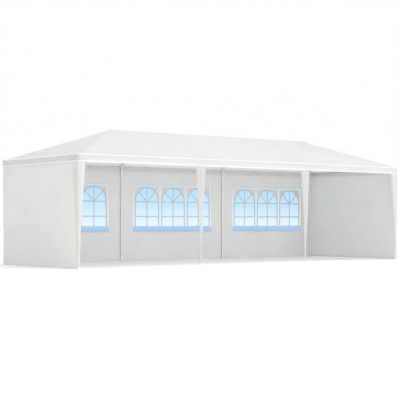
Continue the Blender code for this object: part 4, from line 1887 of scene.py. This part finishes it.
@dataclass
class LegDrape(SubAssembly):
    """A gathered drape on one leg of the open front."""

    column: str = "left"
    place: int = 0
    seed: float = 1.0
    # Real voile is about 0.1 mm thick, drawn 0.8 mm
    cloth: float = 0.8 * MM
    flat_width: float = 0.62
    rows: int = 84
    columns: int = 72
    # The drape is tucked this far up behind the valance. It hangs spread from there and is drawn
    # in towards this height, from where it is wrapped round the leg
    tuck: float = 0.020
    taper_from: float = 0.300
    taper_power: float = 1.35
    # Folds: how many there are over the width, how far they wander, how sharp they are, and the
    # small ones between them
    folds: float = 3.5
    wander: Looseness = Looseness(0.10, 0.7)
    wander_across: float = 0.2
    fold_power: float = 0.8
    small_share: float = 0.14
    small_folds: float = 2.3
    small_phase: float = 1.1
    # The share of their depth that is left where the cloth goes up behind the valance, and the
    # distances below the valance's hem between which they lose the rest
    tight_middle: float = 0.35
    tight_corner: float = 0.30
    flatten: tuple[float, float] = (0.09, 0.005)
    # A middle leg's drape, spread in front of the leg
    top_half: float = 0.130
    bottom_half: float = 0.019
    fold_depth: float = 0.034
    least_fold: float = 0.15
    off_leg: float = 2.0 * MM
    wrap_degrees: float = 118.0
    open_from: float = 0.16
    curl: float = 0.030
    # A corner leg's drape, round the leg and along both sides
    side_reach: float = 0.185
    front_reach: float = 0.190
    least_reach: float = 0.045
    corner_fold: float = 0.022
    least_corner_fold: float = 0.25
    off_fitting: float = 0.0064
    edge_turn: float = 0.040
    turn_from: float = 0.80
    corner_cut: float = 0.003
    corner_half: float = 0.012
    least_area: float = 0.31

    @property
    def is_corner(self) -> bool:
        """True for the drape of a corner leg."""
        return self.place in (0, len(self.plan.leg_x) - 1)

    def draw_in(self, height: float) -> float:
        """Give how far the drape is still spread at a height.

        Args:
            height: Height over the ground.

        Returns:
            1 at the top and 0 where the cloth is wrapped round the leg.
        """
        top = self.plan.valance_bottom
        share = min(max((height - self.taper_from) / (top - self.taper_from), 0.0), 1.0)
        return share ** self.taper_power

    def fold(self, across: float, height: float) -> float:
        """Give the depth of the folds, from 0 in a valley to 1 on a crest.

        Args:
            across: Place over the width, from -1 to 1.
            height: Height over the ground, because folds wander as they fall.

        Returns:
            The share of the full depth.
        """
        wander = self.wander.height * crumple((across * self.wander_across, height, 0.0),
                                              self.wander.pitch, self.seed)
        phase = math.pi * self.folds * (across + wander)
        sharp = 0.5 + 0.5 * math.cos(phase)
        small = 0.5 + 0.5 * math.cos(self.small_folds * phase + self.small_phase + self.seed)
        return min(1.0, (1.0 - self.small_share) * sharp ** self.fold_power
                   + self.small_share * small)

    def room(self, height: float) -> float:
        """Give how much of the folds' depth fits behind the valance.

        Args:
            height: Height over the ground.

        Returns:
            1 below the valance, and less where the cloth goes up behind it.
        """
        hem = self.plan.valance_bottom
        tight = self.tight_corner if self.is_corner else self.tight_middle
        return 1.0 - (1.0 - tight) * smooth(height, hem - self.flatten[0], hem - self.flatten[1])

    def section_middle(self, across: float, height: float) -> Vector:
        """Place a point of a drape that hangs in front of a middle leg.

        Args:
            across: Place over the width, from -1 to 1.
            height: Height over the ground.

        Returns:
            Its place from the leg's axis, seen from above.
        """
        spread = self.draw_in(height)
        close = self.plan.tube_radius + self.off_leg
        angle = -math.pi / 2.0 + across * math.radians(self.wrap_degrees)
        wrapped = Vector((close * math.cos(angle), close * math.sin(angle)))
        half = self.bottom_half + (self.top_half - self.bottom_half) * spread
        depth = self.fold_depth * self.room(height) * (
            self.least_fold + (1.0 - self.least_fold) * spread)
        curl = self.curl * spread * across * across
        open_line = Vector((across * half, -close - depth * self.fold(across, height) + curl))
        mixed = wrapped.lerp(open_line, smooth(spread, 0.0, self.open_from))
        return mixed * max(1.0, close / max(mixed.length, TINY))

    def section_corner(self, across: float, height: float) -> Vector:
        """Place a point of a drape that runs round a corner leg and the wall's edge.

        Args:
            across: Place over the width, -1 on the end wall and 1 on the front.
            height: Height over the ground.

        Returns:
            Its place from the leg's axis, seen from above, for the left corner.
        """
        spread = self.draw_in(height)
        stand = self.plan.fitting_radius + self.off_fitting
        bulge = self.corner_fold * self.fold(across, height) * self.room(height) * (
            self.least_corner_fold + (1.0 - self.least_corner_fold) * spread)
        reach = self.side_reach if across < 0.0 else self.front_reach
        run = abs(across) * (self.least_reach + (reach - self.least_reach) * spread)
        if across < 0.0:
            spot = Vector((-stand - bulge, -stand + run))
        else:
            turned = self.edge_turn * spread * smooth(across, self.turn_from, 1.0)
            spot = Vector((-stand + run, -stand - bulge + turned))
        cut = self.corner_cut * smooth(self.corner_half - run, 0.0, self.corner_half)
        return spot + Vector((cut, cut))

    def build(self) -> None:
        """Make the cloth from the valance down to the foot."""
        plan = self.plan
        name = f"leg_drape_{self.column}"
        top, bottom = plan.valance_bottom + self.tuck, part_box(name)[0].z
        section = self.section_corner if self.is_corner else self.section_middle
        mirror = -1.0 if self.place == len(plan.leg_x) - 1 else 1.0
        x = plan.leg_x[self.place]
        sheet = SheetMesh(f"{name}_cloth")
        grid = []
        for row in range(self.rows + 1):
            height = top + (bottom - top) * row / self.rows
            line = []
            for column in range(self.columns + 1):
                across = 2.0 * column / self.columns - 1.0
                spot = section(across, min(height, plan.valance_bottom))
                place = Vector((x + mirror * spot.x, -plan.leg_y + spot.y, height))
                line.append(sheet.point(place, (across + 1.0) * self.flat_width / 2.0,
                                        top - height))
            grid.append(line)
        sheet.faces(grid)
        piece = self.keep(sheet.finish(self.cloth), Slot.DRAPE, name)

    def dress(self) -> None:
        """Cover the drape with voile."""
        self.cover(self.pieces, VOILE_FINISH)


@dataclass(frozen=True)
class Sun:
    """A far soft light: its direction, strength in watts a square metre, and width.

    The azimuth is in degrees from the front towards the right end, the elevation in degrees over
    the horizon, and the softness is the angle that the light fills.
    """

    name: str
    azimuth: float
    elevation: float
    strength: float
    softness: float

    def add(self) -> None:
        """Add the light to the scene."""
        data = bpy.data.lights.new(self.name, "SUN")
        data.energy = self.strength
        data.angle = math.radians(self.softness)
        lamp = add_object(self.name, data)
        turn, lift = math.radians(self.azimuth), math.radians(self.elevation)
        towards = Vector((math.sin(turn) * math.cos(lift), -math.cos(turn) * math.cos(lift),
                          math.sin(lift)))
        lamp.rotation_mode = "QUATERNION"
        lamp.rotation_quaternion = towards.to_track_quat("Z", "Y")


@dataclass
class Studio:
    """Pale floor, soft light and the camera."""

    eye: tuple[float, float, float] = (-15.83, -19.69, 0.900)
    yaw_degrees: float = 38.16
    focal_pixels: float = 1117.7
    horizon_row: float = 222.1
    sensor_mm: float = 36.0
    sight: float = 1000.0
    surround: str = "#FFFFFF"
    surround_strength: float = 1.0
    suns: tuple[Sun, ...] = (
        Sun("front_light", azimuth=8.0, elevation=6.0, strength=0.50, softness=26.0),
        Sun("side_light", azimuth=-75.0, elevation=12.0, strength=0.06, softness=40.0),
        Sun("top_light", azimuth=60.0, elevation=55.0, strength=1.05, softness=40.0))
    floor_size: float = 400.0
    floor_parts: int = 8

    def build_floor(self) -> None:
        """Lay the floor, far enough to reach the horizon."""
        shape = bmesh.new()
        bmesh.ops.create_grid(shape, x_segments=self.floor_parts, y_segments=self.floor_parts,
                              size=self.floor_size / 2.0)
        floor = add_shape("studio_floor", shape)
        floor.data.materials.append(FLOOR_FINISH.material())

    def build_light(self) -> None:
        """An even white surround, and broad soft lights from the front, a side and above."""
        world = bpy.data.worlds.new("studio_surround")
        bpy.context.scene.world = world
        world.use_nodes = True
        background = world.node_tree.nodes["Background"]
        background.inputs["Color"].default_value = linear(self.surround)
        background.inputs["Strength"].default_value = self.surround_strength
        for sun in self.suns:
            sun.add()

    def build_camera(self) -> None:
        """Set up the camera: level, with a shift that keeps the uprights upright."""
        data = bpy.data.cameras.new("camera")
        data.sensor_width = self.sensor_mm
        data.lens = self.focal_pixels / IMAGE_SIDE * self.sensor_mm
        data.shift_y = (self.horizon_row - IMAGE_SIDE / 2.0) / IMAGE_SIDE
        data.clip_end = self.sight
        camera = add_object("camera", data)
        camera.location = self.eye
        camera.rotation_euler = (math.pi / 2.0, 0.0, -math.radians(self.yaw_degrees))
        bpy.context.scene.camera = camera
        bpy.context.scene.view_settings.view_transform = "Standard"

    def make(self) -> None:
        """Set up the whole studio."""
        self.build_floor()
        self.build_light()
        self.build_camera()
        LOG.info("Studio: floor, light and camera")


def main() -> None:
    """Build the tent's groups in order, then the studio."""
    logging.basicConfig(level=logging.INFO, format="%(name)s %(message)s")
    plan = TentPlan.from_frame()
    groups: list[SubAssembly] = [SteelFrame(plan), RoofCover(plan)]
    groups += [EndWall(plan, end=end, seed=1.0 + place) for place, end in enumerate(End)]
    groups += [BackWall(plan, bay=bay, seed=3.0 + place) for place, bay in enumerate(BAYS)]
    groups.append(WallStraps(plan))
    groups += [LegDrape(plan, column=column, place=place, seed=1.0 + place)
               for place, column in enumerate(COLUMNS)]
    for group in groups:
        group.make()
    Studio().make()


if __name__ == "__main__":
    main()
